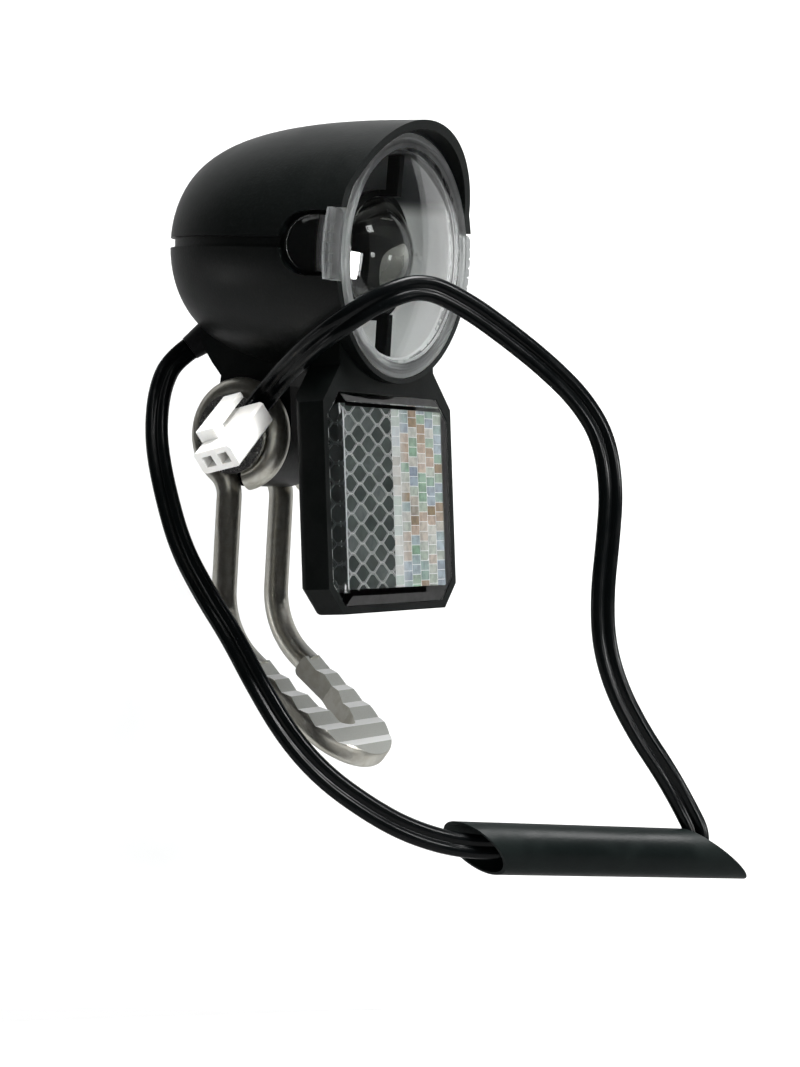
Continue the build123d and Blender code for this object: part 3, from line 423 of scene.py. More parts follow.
def lens_clear(colours):
    """Clear front lens: polished dome, frosted flange with two raised rings, ribbed tabs, clear arms."""
    material, tree, shader = finish("Front lens", colours.clear, 0.02, Transmission_Weight=1.0, IOR=1.5)
    place = placed(tree, lens_axis_group)
    mark = grained(tree, 0.25)
    radius, depth = place["Radius"], place["Depth"]
    frost = times(tree, ramp(tree, radius, *FLANGE_RADIUS), ramp(tree, depth, *FLANGE_DEPTH))
    feed(tree, shader, Base_Color=blend_colour(tree, frost, colours.clear, (0.8, 0.83, 0.825)),
         Roughness=times(tree, frost, between(tree, mark["Patches"], 0.42, 0.5)))
    inner, outer = (band(tree, radius, *reach) for reach in FLANGE_RINGS)
    rings = maths(tree, "ADD", inner, outer)
    tabs = times(tree, frost, ramp(tree, maths(tree, "ABSOLUTE", place["Side"]), *TAB_SIDE))
    ribs = times(tree, maths(tree, "SINE", times(tree, depth, 8.0)), 0.6)
    bump(tree, shader, maths(tree, "ADD", rings, times(tree, tabs, ribs)), 0.2 * MM)
    return material


def steel_wire(colours):
    """Satin stainless wire with faint smears; the pressed foot is duller, and its step facets are painted
    bright on one side as painted highlight and darker on the other as painted shade.
    """
    material, tree, shader = finish("Stainless wire", colours.steel, 0.26, Metallic=1.0)
    mark = grained(tree, 0.3, 5.0)
    inside = ramp(tree, along(tree, on_object(tree), FOOT_NORMAL), *FOOT_LIFT)
    way = node(tree, "ShaderNodeNewGeometry").outputs["True Normal"]
    flat = times(tree, inside, ramp(tree, along(tree, way, FOOT_NORMAL), 0.75, 0.85))
    # The foot's step facets are coloured by which way they face: painted highlight on one side, painted shade
    # on the other
    rise = along(tree, way, (0.0, FOOT_NORMAL.z, -FOOT_NORMAL.y))
    step = blend_colour(tree, ramp(tree, rise, 0.05, 0.2), (0.5, 0.51, 0.48), (0.92, 0.93, 0.92))
    marks = placed(tree, smear_group, Mark_size=2.2)["Marks"]
    smeared = blend_colour(tree, marks, colours.steel, (0.6, 0.58, 0.51))
    polish = ramp(tree, mark["Height"], 0.08, 0.4, 0.3, 0.44)
    feed(tree, shader, Base_Color=blend_colour(tree, flat, smeared, step),
         Roughness=maths(tree, "ADD", polish, times(tree, flat, 0.1)))
    bump(tree, shader, mark["Height"], 0.008 * MM)
    return material


def plated(colours, name="Plated steel", tone=1.0, roughness=0.24):
    """Plated small hardware with a slightly uneven shine."""
    colour = toned(colours.plated, tone)
    material, tree, shader = finish(name, colour, roughness, Metallic=1.0)
    marks = placed(tree, smear_group, Mark_size=1.2)["Marks"]
    feed(tree, shader, Base_Color=blend_colour(tree, marks, colour, toned(colour, 0.9)),
         Roughness=between(tree, marks, roughness - 0.03, roughness + 0.05))
    return material


def bright_bowl(colours):
    """Metallised bowl, satin at its sides; painted dark at the top as painted shade from the visor, and round
    the optic as a painted reflection of its black ring.
    """
    material, tree, shader = finish("Metallised bowl", colours.bowl, 0.08, Metallic=0.2)
    place = placed(tree, lens_axis_group)
    # Painted reflection of the optic's black ring round the middle and painted shade from the visor at the
    # top; both darken the bowl's colour
    middle, top = ramp(tree, place["Radius"], *PAINTED_REFLECTION_RADIUS), ramp(tree, place["Height"], *PAINTED_SHADE_HEIGHT)
    painted_shade_and_reflection = maths(tree, "MAXIMUM", middle, top)
    feed(tree, shader, Base_Color=blend_colour(tree, painted_shade_and_reflection, colours.bowl, (0.03, 0.034, 0.036)),
         Roughness=ramp(tree, place["Radius"], *SATIN_RADIUS, 0.1, 0.42))
    return material


def speckled(name, colour, second, roughness, **values):
    """Plain finish with small tonal specks, for the light source, boards, can and leads."""
    material, tree, shader = finish(name, colour, roughness, **values)
    mark = grained(tree, 0.6, 4.8)
    feed(tree, shader, Base_Color=blend_colour(tree, mark["Patches"], colour, second))
    bump(tree, shader, mark["Height"], 0.02 * MM)
    return material


def wound_copper():
    """Enamelled wire, wound close in turns along the lamp's axis; darker between the turns as painted shade
    and lighter on their crests as painted highlight.
    """
    material, tree, shader = finish("Copper winding", (0.5, 0.2, 0.07), 0.3, Metallic=1.0)
    turns = maths(tree, "SINE", times(tree, placed(tree, lens_axis_group)["Depth"], 18.0))
    crest = ramp(tree, turns, -1.0, 1.0)
    # Painted shade between the turns and painted highlight on their crests
    feed(tree, shader, Base_Color=blend_colour(tree, crest, (0.2, 0.07, 0.02), (0.6, 0.26, 0.1)))
    bump(tree, shader, crest, 0.12 * MM)
    return material


def jacket_black(colours):
    """Soft glossy cable jacket with faint scuffs."""
    material, tree, shader = finish("Cable jacket", colours.jacket, 0.26, Specular_IOR_Level=0.13)
    mark = grained(tree, 0.3, 4.0)
    scuffs = ramp(tree, mark["Height"], 0.25, 0.6)
    feed(tree, shader, Base_Color=blend_colour(tree, scuffs, colours.jacket, (0.004, 0.005, 0.006)),
         Roughness=between(tree, mark["Patches"], 0.2, 0.27))
    bump(tree, shader, mark["Patches"], 0.012 * MM)
    return material


def sleeve_satin(colours):
    """Thin shrink sleeve, satin, with a fine pebbled skin."""
    material, tree, shader = finish("Sleeve", colours.sleeve, 0.44, Specular_IOR_Level=0.12)
    mark = grained(tree, 0.5, 11.0)
    feed(tree, shader, Base_Color=blend_colour(tree, mark["Patches"], colours.sleeve, (0.005, 0.008, 0.0075)),
         Roughness=between(tree, mark["Patches"], 0.38, 0.48))
    bump(tree, shader, mark["Height"], 0.04 * MM)
    return material


def nylon_white(colours):
    """Milky white nylon."""
    material, tree, shader = finish(
        "White nylon", colours.nylon, 0.36, Subsurface_Weight=0.25,
        Subsurface_Radius=(0.6 * MM, 0.55 * MM, 0.5 * MM), Subsurface_Scale=1.0)
    mark = grained(tree, 0.6, 5.0)
    feed(tree, shader, Base_Color=blend_colour(tree, mark["Patches"], colours.nylon, (0.8, 0.79, 0.76)),
         Roughness=between(tree, mark["Patches"], 0.32, 0.42))
    return material


def edged(tree, shader, colour, painted_bevel_dark):
    """Links a base colour that turns to painted dark past the plate's left edge, with a painted highlight
    line there.
    """
    edge = placed(tree, plate_edge_group)
    inner = blend_colour(tree, edge["Mask"], colour, painted_bevel_dark)
    feed(tree, shader, Base_Color=blend_colour(tree, edge["Line"], inner, PAINTED_EDGE_HIGHLIGHT))


def prism_cell(name, stops, roughness, seam=0.0):
    """Cell finish whose colour follows each cell's tint, from 0 to 1, and pales by a share at the seam. Past
    the plate's left edge it turns to painted dark with a painted highlight line.
    """
    material, tree, shader = finish(name, (0.5, 0.5, 0.5), roughness)
    tint = node(tree, "ShaderNodeAttribute", attribute_name="tint").outputs["Fac"]
    spread = node(tree, "ShaderNodeValToRGB", {"Fac": tint})
    points = spread.color_ramp.elements
    while len(points) < len(stops):
        points.new(0.5)
    for point, (at, colour) in zip(points, stops):
        point.position = at
        point.color = opaque(colour)
    mark = grained(tree, 0.5, 1.6)
    dim = between(tree, mark["Patches"], 0.0, 0.3)
    dimmed = blend_colour(tree, dim, spread.outputs["Color"], (0.03, 0.035, 0.035))
    pale = times(tree, placed(tree, plate_edge_group)["Seam"], seam)
    edged(tree, shader, blend_colour(tree, pale, dimmed, (0.88, 0.9, 0.9)), PAINTED_BEVEL_DARK)
    return material


def white_moulding(name, colour, roughness, patch, first, second, painted_bevel_dark):
    """White behind the clear plate, in two patchy tones, that turns to painted dark past the plate's left
    edge, with a painted highlight line there.
    """
    material, tree, shader = finish(name, colour, roughness)
    mark = grained(tree, 0.8, patch)
    edged(tree, shader, blend_colour(tree, mark["Patches"], first, second), painted_bevel_dark)
    return material


# Mesh helpers

def dress(material, *names):
    """Gives CAD nodes a material."""
    for name in names:
        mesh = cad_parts[name].data
        mesh.materials.clear()
        mesh.materials.append(material)


def new_piece(name, mesh):
    piece = bpy.data.objects.new(name, mesh)
    bpy.context.scene.collection.objects.link(piece)
    return piece


def plain_mesh(piece):
    """Mesh of an object as its modifiers or its curve settings make it."""
    return bpy.data.meshes.new_from_object(piece.evaluated_get(bpy.context.evaluated_depsgraph_get()))


def geometry_tree(name, inputs):
    """Empty Geometry Nodes tree with inputs of these names and values; gives the tree and their sockets."""
    tree = bpy.data.node_groups.new(name, "GeometryNodeTree")
    tree.interface.new_socket("Geometry", in_out="OUTPUT", socket_type="NodeSocketGeometry")
    kinds = {float: "NodeSocketFloat", int: "NodeSocketInt", bpy.types.Material: "NodeSocketMaterial"}
    for label, value in inputs.items():
        socket = tree.interface.new_socket(label, in_out="INPUT", socket_type=kinds[type(value)])
        socket.default_value = value
    return tree, tree.nodes.new("NodeGroupInput").outputs


def grown(name, make, inputs):
    """Makes a Geometry Nodes tree, runs it on an empty mesh and gives the result as a plain object."""
    seedling = new_piece(name + "_tree", bpy.data.meshes.new(name + "_tree"))
    modifier = seedling.modifiers.new("Grow", "NODES")
    modifier.node_group = make(inputs)
    for socket in modifier.node_group.interface.items_tree:
        if socket.in_out == "INPUT":
            modifier[socket.identifier] = inputs[socket.name]
    mesh = plain_mesh(seedling)
    mesh.name = name
    seedling.modifiers.remove(modifier)
    bpy.data.objects.remove(seedling)
    return new_piece(name, mesh)


def tinted(tree, instances, seed, patch=0.0):
    """Stores a tint from 0 to 1 on each instance: random, or partly shared with its neighbours in patches."""
    chance = node(tree, "FunctionNodeRandomValue", {"Seed": seed}, data_type="FLOAT").outputs[1]
    slow = noise(tree, node(tree, "GeometryNodeInputPosition").outputs[0], TINT_PATCHES, Detail=1.0)
    tint = blend_value(tree, patch, chance, ramp(tree, slow, 0.3, 0.7))
    stored = node(tree, "GeometryNodeStoreNamedAttribute", {"Geometry": instances, "Name": "tint"},
                  data_type="FLOAT", domain="INSTANCE")
    tree.links.new(tint, stored.inputs["Value"])
    return stored.outputs[0]


def leaning(tree, seed, most):
    """Random rotation of up to an angle about X and Y."""
    return node(tree, "FunctionNodeRandomValue", {0: (-most, -most, 0), 1: (most, most, 0), "Seed": seed},
                data_type="FLOAT_VECTOR").outputs[0]


def cell_grid(tree, given, across, up, shift):
    """Grid of points on XY, every second column shifted up by a share of the pitch."""
    wide = times(tree, maths(tree, "SUBTRACT", given["Columns"], 1), across)
    tall = times(tree, maths(tree, "SUBTRACT", given["Rows"], 1), up)
    grid = node(tree, "GeometryNodeMeshGrid", {
        "Size X": wide, "Size Y": tall, "Vertices X": given["Columns"], "Vertices Y": given["Rows"]})
    left = axes(tree, node(tree, "GeometryNodeInputPosition").outputs[0])["X"]
    start = maths(tree, "ADD", left, times(tree, wide, 0.5))
    column = maths(tree, "ROUND", maths(tree, "DIVIDE", start, across))
    odd = maths(tree, "MODULO", column, 2.0)
    offset = node(tree, "ShaderNodeCombineXYZ", {"Y": times(tree, times(tree, odd, up), shift)})
    return node(tree, "GeometryNodeSetPosition", {
        "Geometry": grid.outputs["Mesh"], "Offset": offset.outputs[0]}).outputs[0]


def repeated(tree, spots, shape, material, seed, patch=0.0, most=None):
    """A shape at each spot, tinted and painted, and leaning at random up to an angle if one is given."""
    inputs = {"Points": spots, "Instance": shape}
    if most is not None:
        inputs["Rotation"] = leaning(tree, seed, most)
    made = node(tree, "GeometryNodeInstanceOnPoints", inputs)
    return painted(tree, tinted(tree, made.outputs[0], seed, patch), material)


def moved(tree, geometry, **values):
    return node(tree, "GeometryNodeTransform", {"Geometry": geometry, **values}).outputs[0]


def painted(tree, geometry, material):
    return node(tree, "GeometryNodeSetMaterial", {"Geometry": geometry, "Material": material}).outputs[0]


def stood_up(tree, parts):
    """Joins parts drawn flat on XY, and ends the tree standing upright and facing forwards."""
    joined = node(tree, "GeometryNodeJoinGeometry")
    for part in parts:
        tree.links.new(part, joined.inputs[0])
    upright = moved(tree, joined.outputs[0], Rotation=(math.radians(90), 0, 0))
    real = node(tree, "GeometryNodeRealizeInstances", {"Geometry": upright})
    tree.links.new(real.outputs[0], tree.nodes.new("NodeGroupOutput").inputs[0])


def hexagon_tree(inputs):
    """Hexagonal prism cells: a tilted face and two pale ridges for each, wider than a regular hexagon."""
    tree, given = geometry_tree("Hexagonal prism cells", inputs)
    pitch, seed = given["Pitch"], given["Seed"]
    corner = maths(tree, "DIVIDE", pitch, math.sqrt(3))
    reach = times(tree, given["Width"], 0.5)
    flat = times(tree, given["Flat"], 0.5)
    spots = cell_grid(tree, given, maths(tree, "ADD", reach, flat), pitch, 0.5)
    regular = node(tree, "GeometryNodeMeshCircle", {"Vertices": 6, "Radius": corner},
                   fill_type="NGON").outputs[0]
    place = axes(tree, node(tree, "GeometryNodeInputPosition").outputs[0])
    wide = node(tree, "ShaderNodeMapRange", {
        "Value": maths(tree, "ABSOLUTE", place["X"]), "From Min": times(tree, corner, 0.5),
        "From Max": corner, "To Min": flat, "To Max": reach}, clamp=False).outputs["Result"]
    widened = node(tree, "ShaderNodeCombineXYZ", {
        "X": times(tree, maths(tree, "SIGN", place["X"]), wide), "Y": place["Y"]}).outputs[0]
    cell = node(tree, "GeometryNodeSetPosition", {"Geometry": regular, "Position": widened}).outputs[0]
    pieces = [repeated(tree, spots, cell, given["Face"], seed, most=HEXAGON_LEAN)]
    outline = node(tree, "GeometryNodeMeshToCurve", {"Mesh": cell}).outputs[0]
    profile = node(tree, "GeometryNodeCurvePrimitiveCircle", {
        "Resolution": 4, "Radius": times(tree, given["Ridge"], 0.5)}).outputs[0]
    for share, lift in HEXAGON_RIDGES:
        ring = moved(tree, outline, Scale=(share, share, 1))
        wire = node(tree, "GeometryNodeCurveToMesh", {"Curve": ring, "Profile Curve": profile}).outputs[0]
        raised = moved(tree, wire, Translation=(0, 0, lift))
        pieces.append(repeated(tree, spots, raised, given["Ridges"], seed))
    stood_up(tree, pieces)
    return tree


def brick_tree(inputs):
    """Brick-shaped prism cells, low, each with its own tilt and tint, on a pale bed."""
    tree, given = geometry_tree("Brick-shaped prism cells", inputs)
    across, up, ridge = given["Across"], given["Up"], given["Ridge"]
    spots = cell_grid(tree, given, across, up, 0.38)
    size = node(tree, "ShaderNodeCombineXYZ", {
        "X": maths(tree, "SUBTRACT", across, times(tree, ridge, 2.4)),
        "Y": maths(tree, "SUBTRACT", up, times(tree, ridge, 1.4)), "Z": BRICK_DEPTH}).outputs[0]
    brick = node(tree, "GeometryNodeMeshCube", {"Size": size}).outputs[0]
    bed_size = node(tree, "ShaderNodeCombineXYZ", {
        "X": times(tree, given["Columns"], across), "Y": times(tree, given["Rows"], up),
        "Z": BED_DEPTH}).outputs[0]
    bed = node(tree, "GeometryNodeMeshCube", {"Size": bed_size}).outputs[0]
    stood_up(tree, [repeated(tree, spots, brick, given["Face"], given["Seed"], 0.6, BRICK_LEAN),
                    painted(tree, bed, given["Bed"])])
    return tree


def trimmed(piece, middle, across, up):
    """Moves a piece's mesh to its middle and cuts it off outside a range in X and a range in Z."""
    piece.data.transform(Matrix.Translation(middle))
    work = bmesh.new()
    work.from_mesh(piece.data)
    for axis, limits in ((0, across), (2, up)):
        for limit, side in zip(limits, (-1, 1)):
            point, normal = Vector((0, 0, 0)), Vector((0, 0, 0))
            point[axis] = limit
            normal[axis] = side
            everything = work.verts[:] + work.edges[:] + work.faces[:]
            bmesh.ops.bisect_plane(work, geom=everything, plane_co=point, plane_no=normal, clear_outer=True)
    work.to_mesh(piece.data)
    work.free()


# Lead

def route_line():
    """The cable's centre line: a NURBS spline through the route, read back as points."""
    curve = bpy.data.curves.new("lead_route", "CURVE")
    curve.dimensions = "3D"
    spline = curve.splines.new("NURBS")
    spline.points.add(len(ROUTE) - 1)
    for point, place in zip(spline.points, ROUTE):
        point.co = (*place, 1)
    spline.order_u = 3
    spline.use_endpoint_u = True
    spline.resolution_u = 14
    route = new_piece("lead_route", curve)
    line = plain_mesh(route)
    points = [vertex.co.copy() for vertex in line.vertices]
    bpy.data.objects.remove(route)
    bpy.data.meshes.remove(line)
    return points


def twin_section(width, core):
    """Outline of two round cores side by side with a thin web between them."""
    radius = core / 2
    middle = width / 2 - radius
    waist = min(math.acos(max(-1.0, -middle / radius * CORE_INWARDS)), CORE_ROUND)
    angles = [-waist + 2 * waist * i / (CORE_POINTS - 1) for i in range(CORE_POINTS)]
    right = [(middle + radius * math.cos(angle), radius * math.sin(angle)) for angle in angles]
    return right + [(-x, -y) for x, y in right]


def twin_cable(sizes, points):
    """Mesh of the twin cable along its centre line, its flat side laid one way with a slow twist."""
    section = twin_section(sizes.cable_width, sizes.core_width)
    count, total = len(points), len(section)
    ways = [(points[min(i + 1, count - 1)] - points[max(i - 1, 0)]).normalized() for i in range(count)]
    wides = []
    for way in ways:
        wide = LAID_ON.cross(way)
        wides.append(wide.normalized() if wide.length > LEAST_LEAN else wides[-1])
    for i in range(1, count):
        if wides[i].dot(wides[i - 1]) < 0:
            wides[i] = -wides[i]
    verts, faces = [], []
    for i, (point, way) in enumerate(zip(points, ways)):
        near = wides[max(0, i - EASED_OVER):i + EASED_OVER + 1]
        wide = sum(near, Vector()) / len(near)
        wide = (wide - way * wide.dot(way)).normalized()
        turn = TWIST * math.sin(i / count * TWIST_WAVES + TWIST_START)
        wide = Matrix.Rotation(turn, 3, way) @ wide
        thick = way.cross(wide)
        verts += [point + wide * x + thick * y for x, y in section]
        if i:
            base, last = i * total, (i - 1) * total
            pairs = [(j, (j + 1) % total) for j in range(total)]
            faces += [(last + j, last + k, base + k, base + j) for j, k in pairs]
    faces.append(tuple(reversed(range(total))))
    faces.append(tuple(range((count - 1) * total, count * total)))
    mesh = bpy.data.meshes.new("twin_cable")
    mesh.from_pydata(verts, [], faces)
    mesh.polygons.foreach_set("use_smooth", [True] * len(mesh.polygons))
    return new_piece("twin_cable", mesh)


# Stage

def from_eye(back, right, up):
    """Place so far towards the camera, to its right and up, in metres."""
    return EYE_BACK * back + EYE_RIGHT * right + EYE_UP * up


def lamp(name, place, size, power):
    """Square area lamp at a place, turned towards the object."""
    light = bpy.data.lights.new(name, "AREA")
    light.size = size
    light.energy = power
    made = new_piece(name, light)
    made.location = place
    made.rotation_euler = (AIM - place).to_track_quat("-Z", "Y").to_euler()


def pale_world():
    """World that lights softly. The camera sees white. Mirrors and clear plastic that the camera looks at see
    a white wall behind the object and a dark room in front of it."""
    world = bpy.data.worlds.new("Pale studio")
    bpy.context.scene.world = world
    world.use_nodes = True
    tree = world.node_tree
    ahead = along(tree, node(tree, "ShaderNodeTexCoord").outputs["Generated"], EYE_BACK)
    room = ramp(tree, ahead, -0.97, -0.6, 1.0, 0.015)
    path = node(tree, "ShaderNodeLightPath").outputs
    seen = maths(tree, "MAXIMUM", path["Is Transmission Ray"], path["Is Glossy Ray"])
    direct = maths(tree, "LESS_THAN", path["Diffuse Depth"], 0.5)
    strength = blend_value(tree, times(tree, seen, direct), 0.55, room)
    ground = tree.nodes["Background"]
    ground.inputs["Color"].default_value = (1, 1, 1, 1)
    tree.links.new(maths(tree, "MAXIMUM", strength, path["Is Camera Ray"]), ground.inputs["Strength"])


def pale_surface(name, lift):
    """Stage material: white, lifted towards plain white where it is seen, and clear from behind."""
    material, tree, shader = finish(name, STAGE_WHITE, 0.9, Specular_IOR_Level=0.0)
    path = node(tree, "ShaderNodeLightPath").outputs
    feed(tree, shader, Base_Color=blend_colour(tree, path["Is Glossy Ray"], STAGE_WHITE, STAGE_MIRRORED))
    seen = maths(tree, "MAXIMUM", path["Is Camera Ray"], path["Is Transmission Ray"])
    seen = maths(tree, "MAXIMUM", seen, times(tree, path["Is Glossy Ray"], 0.3))
    glow = node(tree, "ShaderNodeEmission", {"Color": (1, 1, 1, 1), "Strength": times(tree, seen, lift)})
    lit = node(tree, "ShaderNodeAddShader", {0: shader.outputs[0], 1: glow.outputs[0]})
    back = node(tree, "ShaderNodeNewGeometry").outputs["Backfacing"]
    clear = node(tree, "ShaderNodeBsdfTransparent")
    result = node(tree, "ShaderNodeMixShader", {0: back, 1: lit.outputs[0], 2: clear.outputs[0]})
    tree.links.new(result.outputs[0], tree.nodes["Material Output"].inputs["Surface"])
    return material


def sheet(name, middle, across, along_it, reach, material):
    """Flat stage sheet in two directions from its middle, whose reaches also say which side it shows."""
    (left, right), (first, last) = reach
    corners = [tuple(middle + across * x + along_it * y)
               for x, y in ((left, first), (right, first), (right, last), (left, last))]
    mesh = bpy.data.meshes.new(name)
    mesh.from_pydata(corners, [], [(0, 1, 2, 3)])
    mesh.materials.append(material)
    new_piece(name, mesh)


# Operators

class HEADLIGHT_OT_housing(bpy.types.Operator):
    """Finish the black shell, the carrier, the seal and the gland"""
    bl_idname = "headlight.housing"
    bl_label = "Housing"

    def execute(self, context):
        colours = context.scene.headlight_colours
        dress(shell_black(colours), "lamp_shell")
        dress(moulded("Carrier black", colours.housing, 0.4), "reflector_carrier")
        dress(moulded("Rubber", colours.rubber, 0.6, 0.6), "lens_seal")
        dress(moulded("Gland rubber", colours.rubber, 0.34, 0.5), "cable_gland")
        return {"FINISHED"}


class HEADLIGHT_OT_optics(bpy.types.Operator):
    """Finish the front lens, the optic, its bridge and the bowl"""
    bl_idname = "headlight.optics"
    bl_label = "Optics"

    def execute(self, context):
        colours = context.scene.headlight_colours
        dress(lens_clear(colours), "front_lens")
        # The optic's tint is painted shade of the dark lamp interior
        dress(clear_moulding("Optic", colours.optic), "condenser_optic")
        dress(moulded("Bridge black", colours.housing, 0.35, specular=0.05), "optic_bridge")
        dress(bright_bowl(colours), "reflector_bowl")
        return {"FINISHED"}


class HEADLIGHT_OT_bracket(bpy.types.Operator):
    """Finish the wire bracket, its pivot hardware and the screws"""
    bl_idname = "headlight.bracket"
    bl_label = "Bracket"

    def execute(self, context):
        colours = context.scene.headlight_colours
        dress(steel_wire(colours), "bracket_wire")
        dress(plated(colours), "pivot_bolt", "pivot_nut", "pivot_cup_washers")
        dress(plated(colours, "Screws", 0.8, 0.3), "carrier_screws", "heat_sink_screws", "driver_screws")
        return {"FINISHED"}


class HEADLIGHT_OT_electronics(bpy.types.Operator):
    """Finish the light source, boards, heat sink, coil, capacitor and leads inside the lamp"""
    bl_idname = "headlight.electronics"
    bl_label = "Electronics"

    def execute(self, context):
        dress(speckled("Light source", (0.9, 0.72, 0.2), (0.85, 0.62, 0.12), 0.3), "led")
        dress(speckled("Black board", (0.012, 0.012, 0.013), (0.02, 0.02, 0.022), 0.4), "led_board")
        dress(speckled("Green board", (0.02, 0.12, 0.05), (0.03, 0.17, 0.07), 0.35), "driver_board")
        dress(speckled("Cast aluminium", (0.55, 0.56, 0.57), (0.45, 0.46, 0.47), 0.42, Metallic=1.0),
              "heat_sink")
        dress(wound_copper(), "driver_coil")
        dress(speckled("Can", (0.05, 0.06, 0.09), (0.08, 0.09, 0.12), 0.35), "driver_capacitor")
        dress(speckled("Red leads", (0.45, 0.03, 0.02), (0.35, 0.02, 0.02), 0.4), "led_leads")
        dress(speckled("Dark leads", (0.03, 0.03, 0.035), (0.05, 0.05, 0.055), 0.4), "inner_leads")
        return {"FINISHED"}


class HEADLIGHT_OT_reflector(bpy.types.Operator):
    """Finish the clear reflector plate and build the prism cells behind it"""
    bl_idname = "headlight.reflector"
    bl_label = "Reflector"

    def execute(self, context):
        colours = context.scene.headlight_colours
        sizes = context.scene.headlight_sizes
        dress(clear_moulding("Reflector plate", colours.clear), "reflector_lens")
        dress(white_moulding("White backing", (0.5, 0.52, 0.52), 0.5, 5.0,
                             (0.42, 0.44, 0.44), (0.3, 0.32, 0.32), PAINTED_BEVEL_DARK), "reflector_backing")
        grey = prism_cell("Hexagon faces", [
            (0.0, (0.03, 0.04, 0.037)), (0.7, (0.07, 0.085, 0.08)), (1.0, (0.13, 0.15, 0.145))], 0.22)
        pastel = prism_cell("Brick faces", [
            (0.0, (0.13, 0.17, 0.27)), (0.2, (0.46, 0.53, 0.6)), (0.38, (0.27, 0.42, 0.3)),
            (0.52, (0.66, 0.66, 0.62)), (0.68, (0.58, 0.45, 0.36)), (0.82, (0.2, 0.13, 0.05)),
            (1.0, (0.95, 0.96, 0.95))], 0.2, 0.6)
        # Past the plate's left edge the ridges turn to this painted dark
        ridges = white_moulding("Prism ridges", (0.85, 0.87, 0.87), 0.25, 3.0,
                                (1.0, 1.0, 1.0), (0.88, 0.9, 0.9), (0.07, 0.08, 0.08))
        hexagons = grown("reflector_hexagon_prisms", hexagon_tree, {
            "Pitch": sizes.hex_pitch, "Width": sizes.hex_width, "Flat": sizes.hex_flat,
            "Columns": sizes.hex_columns, "Rows": sizes.hex_rows, "Ridge": sizes.ridge, "Seed": sizes.seed,
            "Face": grey, "Ridges": ridges})
        trimmed(hexagons, CELLS_PLANE + HEXAGONS_MIDDLE, HEXAGONS_ACROSS, CELLS_UP)
        bricks = grown("reflector_brick_prisms", brick_tree, {
            "Across": sizes.brick_width, "Up": sizes.brick_height, "Columns": sizes.brick_columns,
            "Rows": sizes.brick_rows, "Ridge": sizes.ridge, "Seed": sizes.seed, "Face": pastel,
            "Bed": ridges})
        trimmed(bricks, CELLS_PLANE + BRICKS_MIDDLE, BRICKS_ACROSS, CELLS_UP)
        for piece in (hexagons, bricks):
            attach(piece, "head")
        return {"FINISHED"}


class HEADLIGHT_OT_lead(bpy.types.Operator):
    """Build the twin cable and finish its sleeve, plug and contacts"""
    bl_idname = "headlight.lead"
    bl_label = "Lead"

    def execute(self, context):
        colours = context.scene.headlight_colours
        sizes = context.scene.headlight_sizes
        points = route_line()
        cable = twin_cable(sizes, points)
        jacket = jacket_black(colours)
        cable.data.materials.append(jacket)
        dress(jacket, "cable")
        dress(sleeve_satin(colours), "heat_shrink_sleeve")
        dress(nylon_white(colours), "plug_housing")
        dress(plated(colours, "Contacts", 0.9, 0.3), "plug_terminals")
        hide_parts("cable")
        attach(cable, "head")
        return {"FINISHED"}


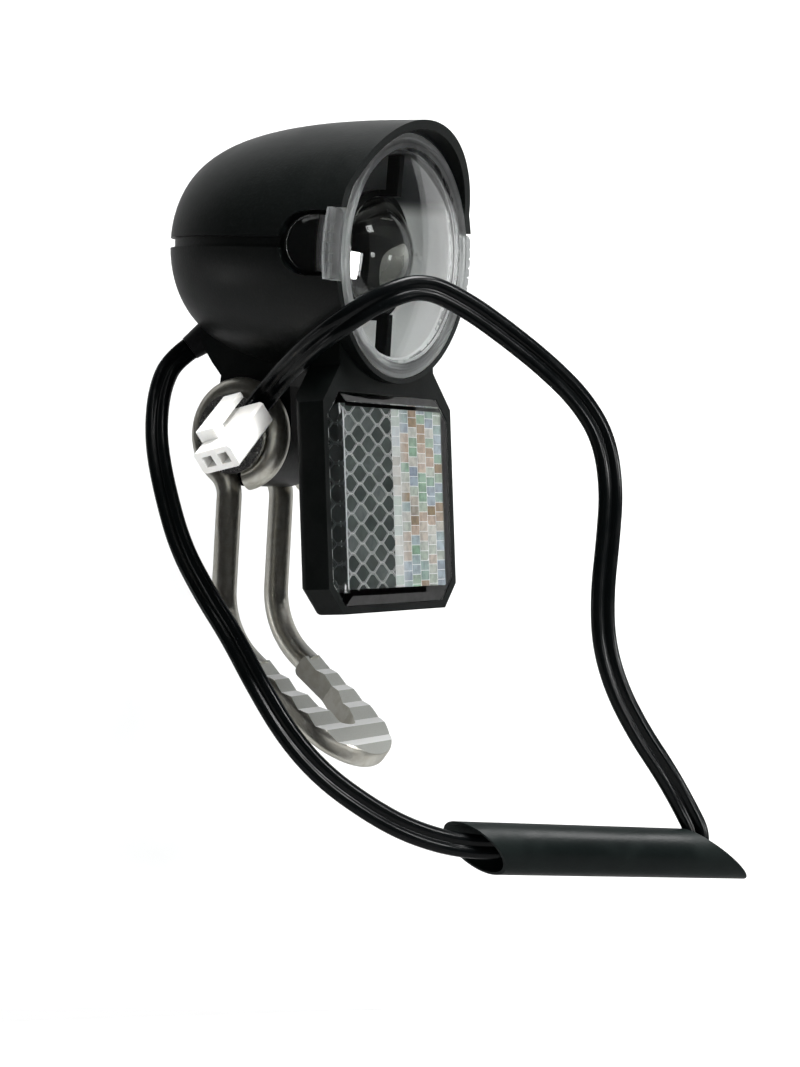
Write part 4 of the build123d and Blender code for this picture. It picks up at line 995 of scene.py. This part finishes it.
class HEADLIGHT_OT_stage(bpy.types.Operator):
    """Set up the floor, the backdrop, the lamps, the world and the camera"""
    bl_idname = "headlight.stage"
    bl_label = "Stage"

    def execute(self, context):
        side = Vector((EYE_RIGHT.x, EYE_RIGHT.y, 0)).normalized()
        ahead = Vector((EYE_BACK.x, EYE_BACK.y, 0)).normalized()
        sheet("floor", FLOOR_MIDDLE, side, ahead, FLOOR_REACH, pale_surface("Floor white", 0.48))
        sheet("backdrop", WALL_MIDDLE, EYE_RIGHT, EYE_UP, WALL_REACH, pale_surface("Backdrop white", 0.4))
        pale_world()
        lamp("Key light", from_eye(0.45, 0.55, 0.55), 0.16, 3.8)
        for turn in map(math.radians, WINDOW_TURNS):
            lamp("Window light", from_eye(math.cos(turn), math.sin(turn), 0) * WINDOW_AWAY + AIM, 0.07, 1.1)
        lamp("Side light", from_eye(0.02, -0.5, -0.05), 0.06, 0.1)
        lamp("Top light", from_eye(0.1, 0.1, 0.55), 0.24, 6.6)
        camera = bpy.data.cameras.new("Photo camera")
        camera.lens = EYE_LENS
        camera.sensor_width = EYE_SENSOR
        camera.clip_start = 0.01
        camera.clip_end = 20.0
        eye = new_piece("Photo camera", camera)
        turned = Matrix((EYE_RIGHT, EYE_UP, EYE_BACK)).transposed()
        eye.matrix_world = Matrix.Translation(EYE) @ turned.to_4x4()
        context.scene.camera = eye
        context.scene.view_settings.view_transform = "Standard"
        return {"FINISHED"}


class HEADLIGHT_PT_panel(bpy.types.Panel):
    """Sizes, colours and steps of the headlight"""
    bl_idname = "HEADLIGHT_PT_panel"
    bl_label = "Headlight"
    bl_space_type = "VIEW_3D"
    bl_region_type = "UI"
    bl_category = "Headlight"

    def draw(self, context):
        for group in (context.scene.headlight_sizes, context.scene.headlight_colours):
            box = self.layout.box()
            for label in group.bl_rna.properties.keys():
                if label not in ("rna_type", "name"):
                    box.prop(group, label)
        for step in STEPS:
            self.layout.operator(step.bl_idname)


STEPS = (HEADLIGHT_OT_housing, HEADLIGHT_OT_optics, HEADLIGHT_OT_bracket, HEADLIGHT_OT_electronics,
         HEADLIGHT_OT_reflector, HEADLIGHT_OT_lead, HEADLIGHT_OT_stage)
CLASSES = (HeadlightSizes, HeadlightColours) + STEPS + (HEADLIGHT_PT_panel,)


def register():
    for cls in CLASSES:
        bpy.utils.register_class(cls)
    bpy.types.Scene.headlight_sizes = bpy.props.PointerProperty(type=HeadlightSizes)
    bpy.types.Scene.headlight_colours = bpy.props.PointerProperty(type=HeadlightColours)


def unregister():
    del bpy.types.Scene.headlight_colours
    del bpy.types.Scene.headlight_sizes
    for cls in reversed(CLASSES):
        bpy.utils.unregister_class(cls)


def main():
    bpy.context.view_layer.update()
    register()
    bpy.ops.headlight.housing()
    bpy.ops.headlight.optics()
    bpy.ops.headlight.bracket()
    bpy.ops.headlight.electronics()
    bpy.ops.headlight.reflector()
    bpy.ops.headlight.lead()
    bpy.ops.headlight.stage()


if __name__ == "__main__":
    main()
